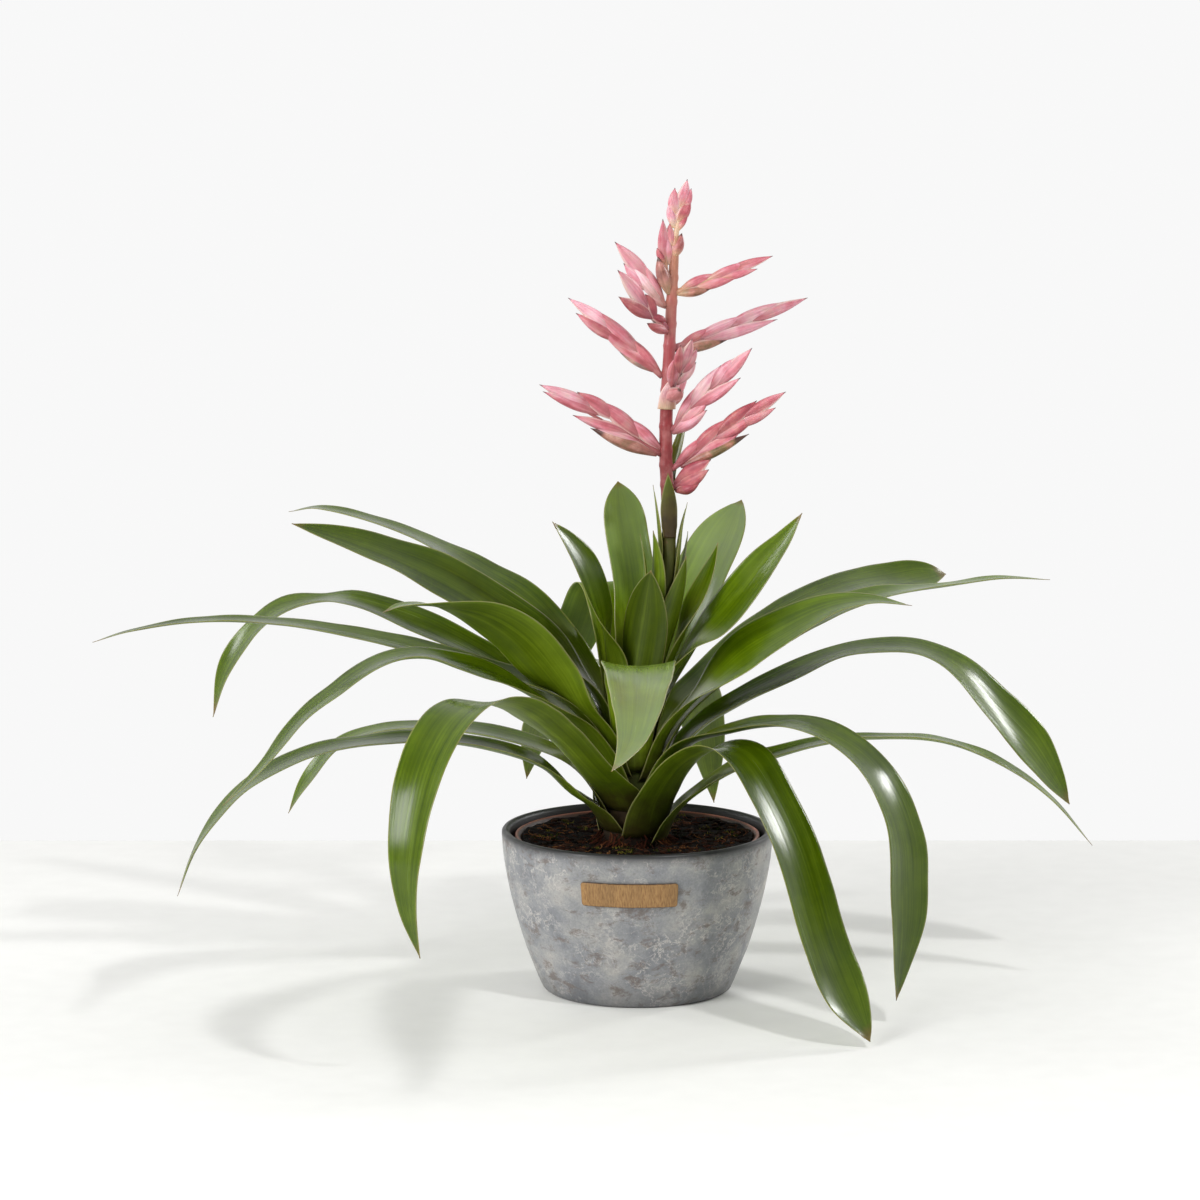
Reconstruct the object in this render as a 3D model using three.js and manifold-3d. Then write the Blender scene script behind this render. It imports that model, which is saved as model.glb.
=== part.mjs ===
// Potted guzmania: a rosette of arching strap leaves around one branched pink flower stem. It grows
// in a plastic nursery pot that stands inside a round stone-effect pot with a small wooden plate.
// Millimetres, +Z up, the pot's base on z = 0 and its centre on the Z axis, the front towards -Y.
import * as THREE from "three";
import Module from "manifold-3d";
import { mergeVertices } from "three/addons/utils/BufferGeometryUtils.js";

// Stone-effect pot: outer wall as [radius, height], from the base to the rim.
const POT_WALL = [
  [55, 0], [58, 1.5], [60.5, 6], [64.7, 16.5], [69.1, 28], [72.7, 39.4], [76, 50.8],
  [78.8, 62.3], [81, 73.7], [82.6, 85.2], [83.5, 97],
];
const POT_HEIGHT = 100;
const POT_THICK = 5;
const POT_FLOOR = 7;
const POT_FLOOR_R = 56; // inside, above the rounded corner
const POT_SIDES = 40;

// Nursery pot: straight tapered cup with a rolled rim.
const LINER_BASE_R = 53;
const LINER_TOP_R = 72.4;
const LINER_RIM_R = 75.4;
const LINER_TOP = 96.5;
const LINER_RIM_DROP = 3;
const LINER_THICK = 1.3;
const LINER_SIDES = 40;

// Soil: fills the nursery pot and has a plain hole for the stem's foot.
const SOIL_LEVEL = 92;
const SOIL_EDGE_LEVEL = 94.3;
const SOIL_LUMP = 1.1;
const SOIL_SIDES = 36;

// Wooden plate on the front of the pot.
const PLATE_ANGLE = -93.9;
const PLATE_WIDTH = 58;
const PLATE_LOW = 67.8;
const PLATE_HIGH = 82.6;
const PLATE_THICK = 2;
const PLATE_CORNER = 1.8;

const GAP = 0.3; // between pieces that touch

// Base colours.
const STONE = 0x9a9ca0;
const TERRACOTTA = 0xb5705c;
const PEAT = 0x3b2c22;
const WOOD = 0xc99a5c;
const STEM_PINK = 0xb0606a;
const BRACT_PINK = 0xd98a98;
const LEAF_GREEN = 0x4a7a25;
const INNER_GREEN = 0x557a35;

// Plant: the stem's foot stands a little left of the pot's centre and the stem leans right.
const PLANT_X = -3;
const FOOT_R = 19;
const FOOT_LOW = 72;
const CROWN_TOP = 162;
const CROWN_TOP_R = 6;
const STEM_SIDES = 14;

// The stem above the crown as [height, x of its centre, radius].
const STEM = [
  [162, -3, 6], [180, 2, 4.7], [200, 7.5, 4.3], [235, 14.6, 4.1], [267, 19, 4.1],
  [300, 18.4, 4], [334, 17, 4], [365, 17.6, 3.9], [395, 19, 3.6], [426, 20.4, 3.3],
  [450, 21.8, 2.8], [464, 22.8, 2],
];

const LEAF_THICK = 0.8;
const LEAF_COLUMNS = 4; // flats across a blade
const LONG_ROWS = 14; // flats along a big blade
const SHORT_ROWS = 9;
const INNER_ROWS = 6;
const FIRST_LEAF = 92.5; // height of the outermost leaf's base
const LEAF_STEP = 2.6; // each leaf further in starts this much higher
const FLARE = 40; // the bases nest like funnels out to this radius
const OPEN_FROM = 30; // a blade wraps the stem up to here, along its midrib
const OPEN_BY = 110; // and is an open channel from here on
const ROLL_BY = 80; // and has its full roll from here on

// The big leaves from the outermost to the innermost: name, heading in degrees from +X seen from
// above, blade width, share of the length where the point begins, then midrib points after the
// base as [out, up, roll, side].
const LEAVES = [
  ["leaf_right_low", -5, 32, 0.4, [[40, 122, 10], [66, 139, 10], [88, 146, 5], [115, 154, 0],
    [146, 158, -5], [188, 157, -5], [225, 144, 0], [256, 123, 0], [282, 94, 0]]],
  ["leaf_back_left_low", 112, 36, 0.5, [[40, 129, 0], [75, 147, 0], [110, 154, 0], [145, 143, 0],
    [170, 120, 0], [182, 98, 0]]],
  ["leaf_front_right", -48, 41, 0.78, [[40, 139, 0], [53, 150, 0], [76, 160, 0], [98, 158, 0],
    [118, 140, -5], [142, 107, -5], [168, 52, -5], [187, 23, 0], [206, 4, 0]]],
  ["leaf_left_low", 193, 36, 0.55, [[40, 124, -5], [58, 141, -10], [83, 151, -5], [120, 159, 0],
    [157, 160, 0], [200, 154, 0], [237, 137, 0], [256, 119, 0], [271, 98, 5], [282, 71, 5]]],
  ["leaf_back_right_low", 75, 36, 0.55, [[40, 141, 0], [75, 158, 0], [115, 169, -5],
    [155, 159, -5], [190, 122, -5], [216, 74, 0]]],
  ["leaf_right_arch", -32, 38, 0.7, [[40, 155, 0], [75, 168, 5], [96, 173, 0], [118, 175, 0],
    [145, 168, 0], [166, 155, 0], [181, 134, 0], [189, 112, 5], [191, 88, 10], [191, 60, 15],
    [185, 15, 10]]],
  ["leaf_left_back_low", 160, 34, 0.55, [[40, 139, 0], [61, 146, 0], [87, 151, 0], [114, 154, 0],
    [148, 153, 0], [175, 148, -5], [196, 139, -20], [210, 126, -35], [222, 111, -45], [232, 93, -45]]],
  ["leaf_right_long", 10, 38, 0.75, [[40, 159, 0], [67, 176, 5], [99, 191, 5], [130, 204, 0],
    [156, 207, 5], [181, 205, 10], [207, 191, 25], [233, 165, 40], [253, 144, 50], [269, 121, 50],
    [279, 105, 50]]],
  ["leaf_front_left", 242, 34, 0.55, [[40, 136, 0], [63, 151, 0], [93, 171, 5], [141, 196, 10],
    [185, 207, 5], [219, 205, 0], [247, 188, 0], [264, 164, 0], [274, 132, 0], [272, 102, 0],
    [259, 72, 0]]],
  ["leaf_back_low", 95, 38, 0.55, [[40, 151, 0], [80, 175, 0], [120, 184, 0], [165, 170, 0],
    [205, 132, 0], [226, 86, 0]]],
  ["leaf_left_front", 214, 34, 0.55, [[40, 166, 0], [60, 180, -10], [96, 202, -20], [132, 215, -15],
    [153, 221, -5], [180, 219, 5], [208, 206, 10], [235, 190, 10], [259, 167, 10], [287, 146, 10]]],
  ["leaf_right_back", 42, 38, 0.75, [[40, 171.5, 0], [60, 183, 0], [100, 206, 0], [144, 222, 5],
    [189, 231, 10], [235, 232, 20], [262, 233, 40], [278, 231, 50]]],
  ["leaf_left_droop", 170, 34, 0.6, [[40, 168, 0], [60, 184, -15], [95, 205, -15], [133, 223, -15],
    [177, 237, -5], [197, 236, 0], [222, 230, -20], [242, 214, -30], [258, 191, -45], [266, 161, -45]]],
  ["leaf_right_mid", 14, 34, 0.4, [[40, 175, 0], [81, 206, 10], [120, 228, 10], [158, 239, 5],
    [198, 243, -5], [237, 247, 0], [270, 245, 0]]],
  ["leaf_left_long", 190, 34, 0.4, [[40, 177, 0], [60, 190, -10], [95, 201, -15], [131, 214, -10],
    [174, 225, -5], [216, 233, 0], [264, 236, 0], [307, 231, 0], [329, 225, 0]]],
  ["leaf_right_high", -12, 38, 0.55, [[40, 182, 10], [67, 209, 38], [91, 225, 32], [122, 241, 20],
    [146, 246, 10], [172, 244, 0]]],
  ["leaf_left_curled", 207, 38, 0.6, [[40, 180, 10], [56, 199, 35], [79, 224, 38], [103, 239, 35],
    [130, 247, 25], [156, 249, 30], [167, 246, 30]]],
  ["leaf_front_long", -90, 44, 0.4, [[40, 193, 0], [60, 202, 0], [85, 210, 0, 1], [110, 217, 0, 2],
    [160, 227.5, 0, 2], [190, 231, 0, 2], [224, 230.5, 0, 2], [263, 226, 0, 1], [290, 220, 0, 0],
    [318, 212.5, 0, -3], [345, 207, 0, -9], [362, 205, 0, -14]]],
  ["leaf_left_top_back", 150, 34, 0.5, [[40, 201, -5], [54, 215, -15], [80, 236, -20],
    [110, 251, -5], [139, 264, 5], [184, 277, 5], [229, 284, -5], [253, 280, -10]]],
  ["leaf_back_right_upright", 45, 46, 0.72, [[40, 212, 0], [60, 247, 0], [77, 271, 0], [88, 285, 0],
    [97, 295, 0]]],
  ["leaf_left_top", 188, 38, 0.6, [[40, 203, -20], [58, 219, -38], [82, 236, -40], [112, 255, -38],
    [143, 270, -30], [179, 284, -30], [208, 293, -30]]],
  ["leaf_right_upright", -10, 34, 0.55, [[40, 217, 15], [53, 230, 35], [66, 246, 42], [80, 265, 42],
    [93, 281, 42], [104, 298, 42]]],
  ["leaf_back_left_arch", 112, 34, 0.75, [[17.3, 175, 0], [23, 196, 0], [28, 217, 0], [36, 236, 0],
    [48, 246, 0], [61, 240, 0], [74, 219, 0, 3], [82, 200, 0, 7], [88, 178, 0, 11]]],
  ["leaf_left_upright", 203, 35, 0.5, [[13, 178, 0], [16, 206, -5], [22.5, 238, -40],
    [31, 263, -50], [42, 280, -50], [53, 293, -50]]],
  ["leaf_back_upright", 95, 27, 0.8, [[12, 185, 0], [18, 210, 0, -2.5], [28, 245, 0, -4],
    [39, 280, 0, 0.5], [46, 298, 0, 3], [50, 309, 0, 4.6]]],
];

// Small leaves at the stem and the bracts up it, in the same form, but measured from the leaning
// stem: name, heading, base height, blade width, where the point begins, midrib points.
const INNER = [
  ["leaf_front_upright", -118, 158, 33, 0.6, [[12.2, 178, 0, -2.8], [15.5, 202, 0, -2.5],
    [20.5, 232, 0, -1.5], [25, 252, 0, 0.5], [28, 264, 0, 2.5]]],
  ["inner_leaf_right", -8, 168, 22, 0.4, [[9.2, 186, 0], [14, 208, 10], [20, 238, 40],
    [26, 262, 50], [30, 278, 50]]],
  ["inner_leaf_left", 208, 167, 17, 0.4, [[9.2, 190, 0], [11.5, 215, -10], [15, 250, -30],
    [20, 284, -30]]],
  ["inner_leaf_back", 98, 170, 16, 0.4, [[7.8, 200, 0], [9.5, 225, 0], [12, 255, 0], [15, 274, 0]]],
  ["inner_leaf_front_right", -56, 175, 19, 0.4, [[7.2, 192, 0], [9.2, 215, 0], [13, 245, 0],
    [18, 271, 0]]],
  ["inner_leaf_side", 15, 190, 12, 0.4, [[6.6, 207, 0], [7.5, 230, 0], [9.5, 262, 0], [12, 284, 0]]],
  ["inner_leaf_front", -138, 196, 16, 0.4, [[6.4, 212, 0], [7.2, 230, 0], [9.5, 262, 0],
    [13, 286, 0]]],
  ["stem_bract_right", 5, 240, 11, 0.4, [[6, 262, 0], [8, 285, 0], [12, 302, 0]]],
  ["stem_bract_left", 180, 246, 11, 0.4, [[6, 270, 0], [7, 295, 0], [8.5, 313, 0]]],
  ["stem_bract_front", -84, 281, 13, 0.4, [[6.4, 292, 0], [7.2, 305, 0], [8.5, 321, 0]]],
  ["stem_bract_back", 50, 312, 9, 0.4, [[6, 320, 0], [10, 330, 0], [15, 342, 0], [19, 352, 0]]],
];

// Flower spikes from the top down: name, base height, distance from the stem's centre, heading,
// climb, length, bracts, bract width, turn about the spike's own axis.
const SPIKES = [
  ["spike_top", 465.2, 0, 10, 79, 35, 5, 10, 0],
  ["spike_top_front", 438, 5, 215, 86, 39, 3, 8, 60],
  ["spike_upper_left", 423.5, 4.9, 188, 51, 50, 4, 10, 0],
  ["spike_upper_right", 431, 4.15, -8, 21, 64, 5, 7, 0],
  ["spike_left_front", 410, 4.8, 228, 38, 60, 4, 12, 0],
  ["spike_right_back", 397, 4.4, 28, 15, 98, 6, 8, 0],
  ["spike_left", 380.5, 5.1, 182, 40, 74, 6, 8.5, 0],
  ["spike_front", 370, 5.3, -70, 42, 54, 5, 11, 40],
  ["spike_back", 362, 5.5, 62, 50, 44, 4, 9, 0],
  ["spike_right", 348, 5.5, -25, 44, 74, 5, 10, 10],
  ["spike_low_left", 333, 5.15, 200, 30, 90, 6, 12, 0],
  ["spike_low_right", 324, 5.2, -6, 35, 84, 6, 10.5, 0],
  ["spike_bud", 312, 5.25, -26, 33, 33, 4, 13, 20],
];

const STALK_R = 1.7;
const STALK_SIDES = 6;
const BRACT_SIDES = 5;
const UNDER_THICK = 3.6; // of the long bract under a spike

const wasm = await Module();
wasm.setup();

const plant = new THREE.Group();

function add(name, geometry, colour) {
  const mesh = new THREE.Mesh(geometry, new THREE.MeshStandardMaterial({ color: colour }));
  mesh.name = name;
  plant.add(mesh);
}

// Indexed geometry from a list of [x, y, z] points and a list of triangles.
function geometryOf(points, triangles) {
  const geometry = new THREE.BufferGeometry();
  geometry.setAttribute("position", new THREE.Float32BufferAttribute(points.flat(), 3));
  geometry.setIndex(triangles.flat());
  return geometry;
}

function solidOf(geometry) {
  const bare = geometry.clone();
  bare.deleteAttribute("normal");
  bare.deleteAttribute("uv");
  const merged = mergeVertices(bare, 1e-4);
  return new wasm.Manifold(
    new wasm.Mesh({
      numProp: 3,
      vertProperties: merged.attributes.position.array,
      triVerts: new Uint32Array(merged.index.array),
    }),
  );
}

function geometryFrom(solid) {
  const mesh = solid.getMesh();
  const geometry = new THREE.BufferGeometry();
  geometry.setAttribute("position", new THREE.BufferAttribute(mesh.vertProperties, 3));
  geometry.setIndex(new THREE.BufferAttribute(mesh.triVerts, 1));
  return geometry;
}

// Turns a profile of [radius, height] points about Z. An open profile starts and ends on the axis;
// a closed one is a ring. The profile runs up the outside. shift may move a point.
function revolve(profile, sides, closed = false, shift = (p) => p) {
  const points = [];
  const rings = profile.map(([r, z], k) => {
    if (r === 0) {
      points.push(shift([0, 0, z], k));
      return [points.length - 1];
    }
    const ring = [];
    for (let i = 0; i < sides; i++) {
      const a = (2 * Math.PI * i) / sides;
      points.push(shift([r * Math.cos(a), r * Math.sin(a), z], k));
      ring.push(points.length - 1);
    }
    return ring;
  });
  const triangles = [];
  const last = closed ? rings.length : rings.length - 1;
  for (let k = 0; k < last; k++) {
    const low = rings[k];
    const high = rings[(k + 1) % rings.length];
    for (let i = 0; i < sides; i++) {
      const j = (i + 1) % sides;
      if (low.length > 1) triangles.push([low[i], low[j], high[high.length > 1 ? j : 0]]);
      if (high.length > 1) triangles.push([low[low.length > 1 ? i : 0], high[j], high[i]]);
    }
  }
  return geometryOf(points, triangles);
}

// Straight-line value between the rows of a table of [x, value...].
function lookUp(table, x, column) {
  let k = 1;
  while (k < table.length - 1 && x > table[k][0]) k++;
  const [a, b] = [table[k - 1], table[k]];
  const f = THREE.MathUtils.clamp((x - a[0]) / (b[0] - a[0]), 0, 1);
  return a[column] + f * (b[column] - a[column]);
}

// Smooth curve through rows of numbers, spaced by the distance between their first two entries.
function smoothRows(rows) {
  const at = [0];
  for (let k = 1; k < rows.length; k++) {
    at.push(at[k - 1] + Math.hypot(rows[k][0] - rows[k - 1][0], rows[k][1] - rows[k - 1][1]));
  }
  const slope = rows.map((row, k) => {
    const a = Math.max(k - 1, 0);
    const b = Math.min(k + 1, rows.length - 1);
    return row.map((_, c) => (rows[b][c] - rows[a][c]) / (at[b] - at[a]));
  });
  const total = at[at.length - 1];
  const read = (s) => {
    let k = 1;
    while (k < rows.length - 1 && s > at[k]) k++;
    const span = at[k] - at[k - 1];
    const t = (s - at[k - 1]) / span;
    const h = [
      2 * t ** 3 - 3 * t ** 2 + 1,
      (t ** 3 - 2 * t ** 2 + t) * span,
      3 * t ** 2 - 2 * t ** 3,
      (t ** 3 - t ** 2) * span,
    ];
    return rows[k].map(
      (value, c) =>
        h[0] * rows[k - 1][c] + h[1] * slope[k - 1][c] + h[2] * value + h[3] * slope[k][c],
    );
  };
  return { total, read };
}

// The pot's outer radius at a height.
function potRadius(z) {
  return lookUp(POT_WALL.map(([r, h]) => [h, r]), z, 1);
}

function makePot() {
  const rim = POT_WALL[POT_WALL.length - 1][0];
  const outside = [[0, 0], ...POT_WALL, [rim - 0.2, POT_HEIGHT - 1], [rim - 1.5, POT_HEIGHT]];
  const inside = [[rim - 3.6, POT_HEIGHT], [rim - POT_THICK, POT_HEIGHT - 1.6]];
  for (const [r, z] of POT_WALL.slice(3, -1).reverse()) inside.push([r - POT_THICK, z]);
  inside.push([POT_FLOOR_R, POT_FLOOR + 1.6], [POT_FLOOR_R - 2.5, POT_FLOOR], [0, POT_FLOOR]);
  add("pot", revolve([...outside, ...inside], POT_SIDES), STONE);
}

function makeLiner() {
  const low = POT_FLOOR + GAP;
  const under = LINER_TOP - LINER_RIM_DROP;
  const profile = [
    [0, low], [LINER_BASE_R - 1, low], [LINER_BASE_R, low + 1.5],
    [LINER_TOP_R, under], [LINER_RIM_R, under], [LINER_RIM_R, LINER_TOP - 0.5],
    [LINER_RIM_R - 0.5, LINER_TOP], [LINER_RIM_R - 1.8, LINER_TOP],
    [LINER_TOP_R - LINER_THICK, LINER_TOP - 2.5],
    [LINER_BASE_R - LINER_THICK, low + LINER_THICK + 0.8],
    [LINER_BASE_R - LINER_THICK - 1, low + LINER_THICK], [0, low + LINER_THICK],
  ];
  add("nursery_pot", revolve(profile, LINER_SIDES), TERRACOTTA);
}

function makeSoil() {
  const low = POT_FLOOR + 2 * GAP + LINER_THICK;
  const hole = FOOT_R + GAP;
  const edge = LINER_TOP_R - LINER_THICK - 0.6;
  const profile = [
    [0, low], [LINER_BASE_R - LINER_THICK - 1.6, low], [LINER_BASE_R - LINER_THICK - 0.6, low + 1],
    [edge, SOIL_EDGE_LEVEL], [65, SOIL_EDGE_LEVEL], [56, SOIL_EDGE_LEVEL], [47, SOIL_EDGE_LEVEL],
    [38, SOIL_LEVEL + 0.8], [30, SOIL_LEVEL], [hole, SOIL_LEVEL], [hole, FOOT_LOW - GAP],
    [0, FOOT_LOW - GAP],
  ];
  const [firstLump, lastLump] = [3, 8];
  const lumpy = ([x, y, z], k) => {
    if (k > lastLump) return [x + PLANT_X, y, z];
    if (k < firstLump) return [x, y, z];
    const wave = Math.sin(x * 0.21 + 1.3) * Math.cos(y * 0.27 - 0.6) + 0.6 * Math.sin(x * 0.47 - y * 0.39);
    const lift = k === firstLump ? Math.min(0, wave) : k === lastLump ? -0.3 : wave;
    return [x, y, z + SOIL_LUMP * 0.6 * lift];
  };
  add("soil", revolve(profile, SOIL_SIDES, false, lumpy), PEAT);
}

// A thin slab that follows the pot's wall, with rounded corners.
function makePlate() {
  const columns = 10;
  const rows = 2;
  const middle = (PLATE_LOW + PLATE_HIGH) / 2;
  const half = PLATE_WIDTH / 2;
  const points = [];
  for (const lift of [GAP + 0.2, GAP + 0.2 + PLATE_THICK]) {
    for (let i = 0; i <= columns; i++) {
      const t = Math.sin((Math.PI / 2) * (2 * (i / columns) - 1));
      const inset = Math.max(0, Math.abs(t) * half - (half - PLATE_CORNER));
      const cut = PLATE_CORNER - Math.sqrt(PLATE_CORNER ** 2 - Math.min(inset, PLATE_CORNER) ** 2);
      for (let j = 0; j <= rows; j++) {
        const reach = (PLATE_HIGH - PLATE_LOW) / 2 - cut;
        const z = middle + reach * (2 * (j / rows) - 1);
        const r = potRadius(z) + lift;
        const a = THREE.MathUtils.degToRad(PLATE_ANGLE) + (t * half) / potRadius(middle);
        points.push([r * Math.cos(a), r * Math.sin(a), z]);
      }
    }
  }
  add("name_plate", gridSlab(points, columns, rows), WOOD);
}

// Closed slab from two equal grids of points, the lower face first, then the upper one.
function gridSlab(points, long, across) {
  const wide = across + 1;
  const face = (long + 1) * wide;
  const triangles = [];
  for (let i = 0; i < long; i++) {
    for (let j = 0; j < across; j++) {
      const [a, b, c, d] = [i * wide + j, (i + 1) * wide + j, (i + 1) * wide + j + 1, i * wide + j + 1];
      triangles.push([a, c, b], [a, d, c]);
      triangles.push([a + face, b + face, c + face], [a + face, c + face, d + face]);
    }
    for (const [p, q] of [[i * wide, (i + 1) * wide], [(i + 1) * wide + across, i * wide + across]]) {
      triangles.push([p, q, q + face], [p, q + face, p + face]);
    }
  }
  for (let j = 0; j < across; j++) {
    const k = long * wide + j;
    triangles.push([j, j + face, j + 1 + face], [j, j + 1 + face, j + 1]);
    triangles.push([k, k + 1, k + 1 + face], [k, k + 1 + face, k + face]);
  }
  return geometryOf(points, triangles);
}

// Radius of the crown, the short thick foot of the stem that the leaves wrap.
function crownRadius(z) {
  return lookUp([[SOIL_LEVEL, FOOT_R], [CROWN_TOP, CROWN_TOP_R]], z, 1);
}

function makeStem() {
  const rings = [
    [FOOT_LOW, PLANT_X, FOOT_R - 1], [FOOT_LOW + 1, PLANT_X, FOOT_R], [SOIL_LEVEL, PLANT_X, FOOT_R],
    ...STEM,
  ];
  const profile = [[0, FOOT_LOW], ...rings.map(([z, , r]) => [r, z]), [0, rings[rings.length - 1][0] + 0.8]];
  const lean = ([x, y, z]) => [x + lookUp(rings, z, 1), y, z];
  add("flower_stem", revolve(profile, STEM_SIDES, false, lean), STEM_PINK);
}

// A strap: midrib rows of [out, up, roll, side] in the vertical plane at a heading, a half-width
// rule, and a section that wraps the stem at the base and opens into a shallow channel.
function strap(origin, heading, rows, half, cupOf, long) {
  const turn = THREE.MathUtils.degToRad(heading);
  const outward = new THREE.Vector3(Math.cos(turn), Math.sin(turn), 0);
  const sideways = new THREE.Vector3(-Math.sin(turn), Math.cos(turn), 0);
  const path = smoothRows(rows.map(([out, up, roll = 0, side = 0]) => [out, up, roll, side]));
  const place = (s) => {
    const [out, up, roll, side] = path.read(THREE.MathUtils.clamp(s, 0, path.total));
    const point = origin(up).addScaledVector(outward, out).addScaledVector(sideways, side);
    point.z = up;
    return { point, out, roll: THREE.MathUtils.degToRad(roll) };
  };
  const along = (s, reach) => place(s + reach).point.sub(place(s - reach).point).normalize();
  const lower = [];
  const upper = [];
  for (let i = 0; i <= long; i++) {
    const f = 1 - (1 - i / long) ** 1.2; // the rows close up a little towards the tip
    const s = f * path.total;
    const { point, out, roll } = place(s);
    const ahead = along(s, 1);
    const bend = along(s + 5, 1).distanceTo(along(s - 5, 1)) / 10;
    const flat = sideways.clone().addScaledVector(ahead, -sideways.dot(ahead)).normalize();
    const face = ahead.clone().cross(flat);
    const open = THREE.MathUtils.smoothstep(s, OPEN_FROM, OPEN_BY);
    const rolled = roll * THREE.MathUtils.smoothstep(s, OPEN_FROM, ROLL_BY);
    const side = flat.clone().multiplyScalar(Math.cos(rolled)).addScaledVector(face, Math.sin(rolled));
    const above = face.clone().multiplyScalar(Math.cos(rolled)).addScaledVector(flat, -Math.sin(rolled));
    const inward = outward.clone().multiplyScalar(-(1 - open)).addScaledVector(above, open).normalize();
    const w = half(f);
    const cup = cupOf(f) / (1 + (14 * bend) ** 2); // a sharp bend flattens the channel
    const wrap = THREE.MathUtils.clamp(Math.max(w / Math.max(out, 1), cup), 0.02, 1.5);
    const arc = THREE.MathUtils.lerp(wrap, cup, open);
    const radius = w / arc;
    for (let j = 0; j <= LEAF_COLUMNS; j++) {
      const angle = arc * ((2 * j) / LEAF_COLUMNS - 1);
      const middle = point.clone()
        .addScaledVector(side, radius * Math.sin(angle))
        .addScaledVector(inward, radius * (1 - Math.cos(angle)));
      const up = side.clone().multiplyScalar(-Math.sin(angle)).addScaledVector(inward, Math.cos(angle));
      lower.push(middle.clone().addScaledVector(up, -LEAF_THICK / 2).toArray());
      upper.push(middle.clone().addScaledVector(up, LEAF_THICK / 2).toArray());
    }
  }
  return gridSlab([...lower, ...upper], long, LEAF_COLUMNS);
}

// Half-width along a blade: a wide base, a slight neck, the full blade, then a long point.
function bladeHalf(f, base, width, taperFrom) {
  const neck = 0.42 * width;
  const full = 0.5 * width;
  const rise = THREE.MathUtils.smoothstep(f, 0.2, 0.5);
  const fall = THREE.MathUtils.smoothstep(f, 0.02, 0.2);
  const body = base + (neck - base) * fall + (full - neck) * rise;
  const u = Math.max(0, (f - taperFrom) / (1 - taperFrom));
  return Math.max(0.5, body * (1 - u ** (taperFrom > 0.7 ? 3 : 2.2)));
}

// The base of a leaf: rows from the crown out to the first hand-placed point. Each leaf further in
// starts higher and closer, so that the bases nest without touching. The start leaves room for the
// flats between the blade's columns.
function baseRows(k, [out, up]) {
  const low = FIRST_LEAF + LEAF_STEP * k;
  const start = (crownRadius(low) + GAP) / Math.cos(0.28) + LEAF_THICK / 2;
  const [reach, climb] = out >= FLARE ? [0.38, 0.58] : [0.3, 0.4];
  return [[start, low, 0], [start + reach * (out - start), low + climb * (up - low), 0]];
}

function makeLeaves() {
  LEAVES.forEach(([name, heading, width, taper, path], k) => {
    const rows = [...baseRows(k, path[0]), ...path];
    const base = Math.min(0.9 * rows[0][0], 0.6 * width);
    const half = (f) => bladeHalf(f, base, width, taper);
    const origin = () => new THREE.Vector3(PLANT_X, 0, 0);
    const cup = (f) => THREE.MathUtils.lerp(0.7, 0.3, THREE.MathUtils.smoothstep(f, 0.1, 0.5));
    const long = path.length > 6 ? LONG_ROWS : SHORT_ROWS;
    add(name, strap(origin, heading, rows, half, cup, long), LEAF_GREEN);
  });
}

function makeInner() {
  for (const [name, heading, low, width, taper, path] of INNER) {
    const grip = low < CROWN_TOP ? crownRadius(low) : lookUp(STEM, low, 2);
    const start = grip + 2 * GAP + LEAF_THICK / 2;
    const rows = [[start, low, 0], ...path];
    const half = (f) => bladeHalf(f, Math.min(0.85 * start, 0.5 * width), width, taper);
    const origin = (z) => new THREE.Vector3(lookUp(STEM, z, 1), 0, 0);
    const cup = (f) => THREE.MathUtils.lerp(1, 0.4, f);
    add(name, strap(origin, heading, rows, half, cup, INNER_ROWS), INNER_GREEN);
  }
}

// One boat-shaped bract along +Z from its root, pointed at both ends.
function bractShape(length, width, thick) {
  const profile = [[0, 0], [0.45, 0.28], [0.42, 0.62], [0, 1]];
  const geometry = revolve(profile.map(([r, z]) => [r, z * length]), BRACT_SIDES);
  return geometry.scale(width, thick, 1);
}

// A spike: a stalk, a long pointed bract under it and two ranks of bracts that end in a tip. The
// spike grows along its own +Z and its +X points down.
function makeSpikes() {
  const turned = (axis, angle) => new THREE.Matrix4()[`makeRotation${axis}`](angle);
  const moved = (x, z) => new THREE.Matrix4().makeTranslation(x, 0, z);
  for (const [name, low, stand, heading, climb, length, count, width, turn] of SPIKES) {
    const foot = new THREE.Matrix4()
      .makeTranslation(lookUp(STEM, low, 1), 0, low)
      .multiply(turned("Z", THREE.MathUtils.degToRad(heading)))
      .multiply(moved(stand, 0))
      .multiply(turned("Y", THREE.MathUtils.degToRad(90 - climb)));
    const ranks = foot.clone().multiply(turned("Z", THREE.MathUtils.degToRad(turn)));
    const put = (geometry, matrix) => solidOf(geometry.applyMatrix4(matrix));
    const stalk = [[0, 0], [STALK_R, 0], [STALK_R, length * 0.4], [0.8, length * 0.6], [0, length * 0.62]];
    const under = foot.clone().multiply(moved(0.9, 1)).multiply(turned("Y", 0.1));
    let solid = put(revolve(stalk, STALK_SIDES), foot);
    solid = solid.add(put(bractShape(length * 0.45, 0.62 * width, UNDER_THICK), under));
    for (let j = 0; j < count; j++) {
      const f = j / (count - 1);
      const flip = j % 2 ? 1 : -1;
      const size = 12 + 0.26 * length;
      const along = THREE.MathUtils.lerp(length * 0.18, length - size, f);
      const tilt = j === count - 1 ? 0 : flip * (0.2 - 0.12 * f);
      const sideStep = flip * 0.12 * width * (1 - f);
      const place = ranks.clone().multiply(moved(sideStep, along)).multiply(turned("Y", tilt));
      solid = solid.add(put(bractShape(size, width * (1 - 0.25 * f), width * (0.7 - 0.15 * f)), place));
    }
    add(name, geometryFrom(solid), BRACT_PINK);
  }
}

makePot();
makeLiner();
makeSoil();
makePlate();
makeStem();
makeLeaves();
makeInner();
makeSpikes();

export default plant;
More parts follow.
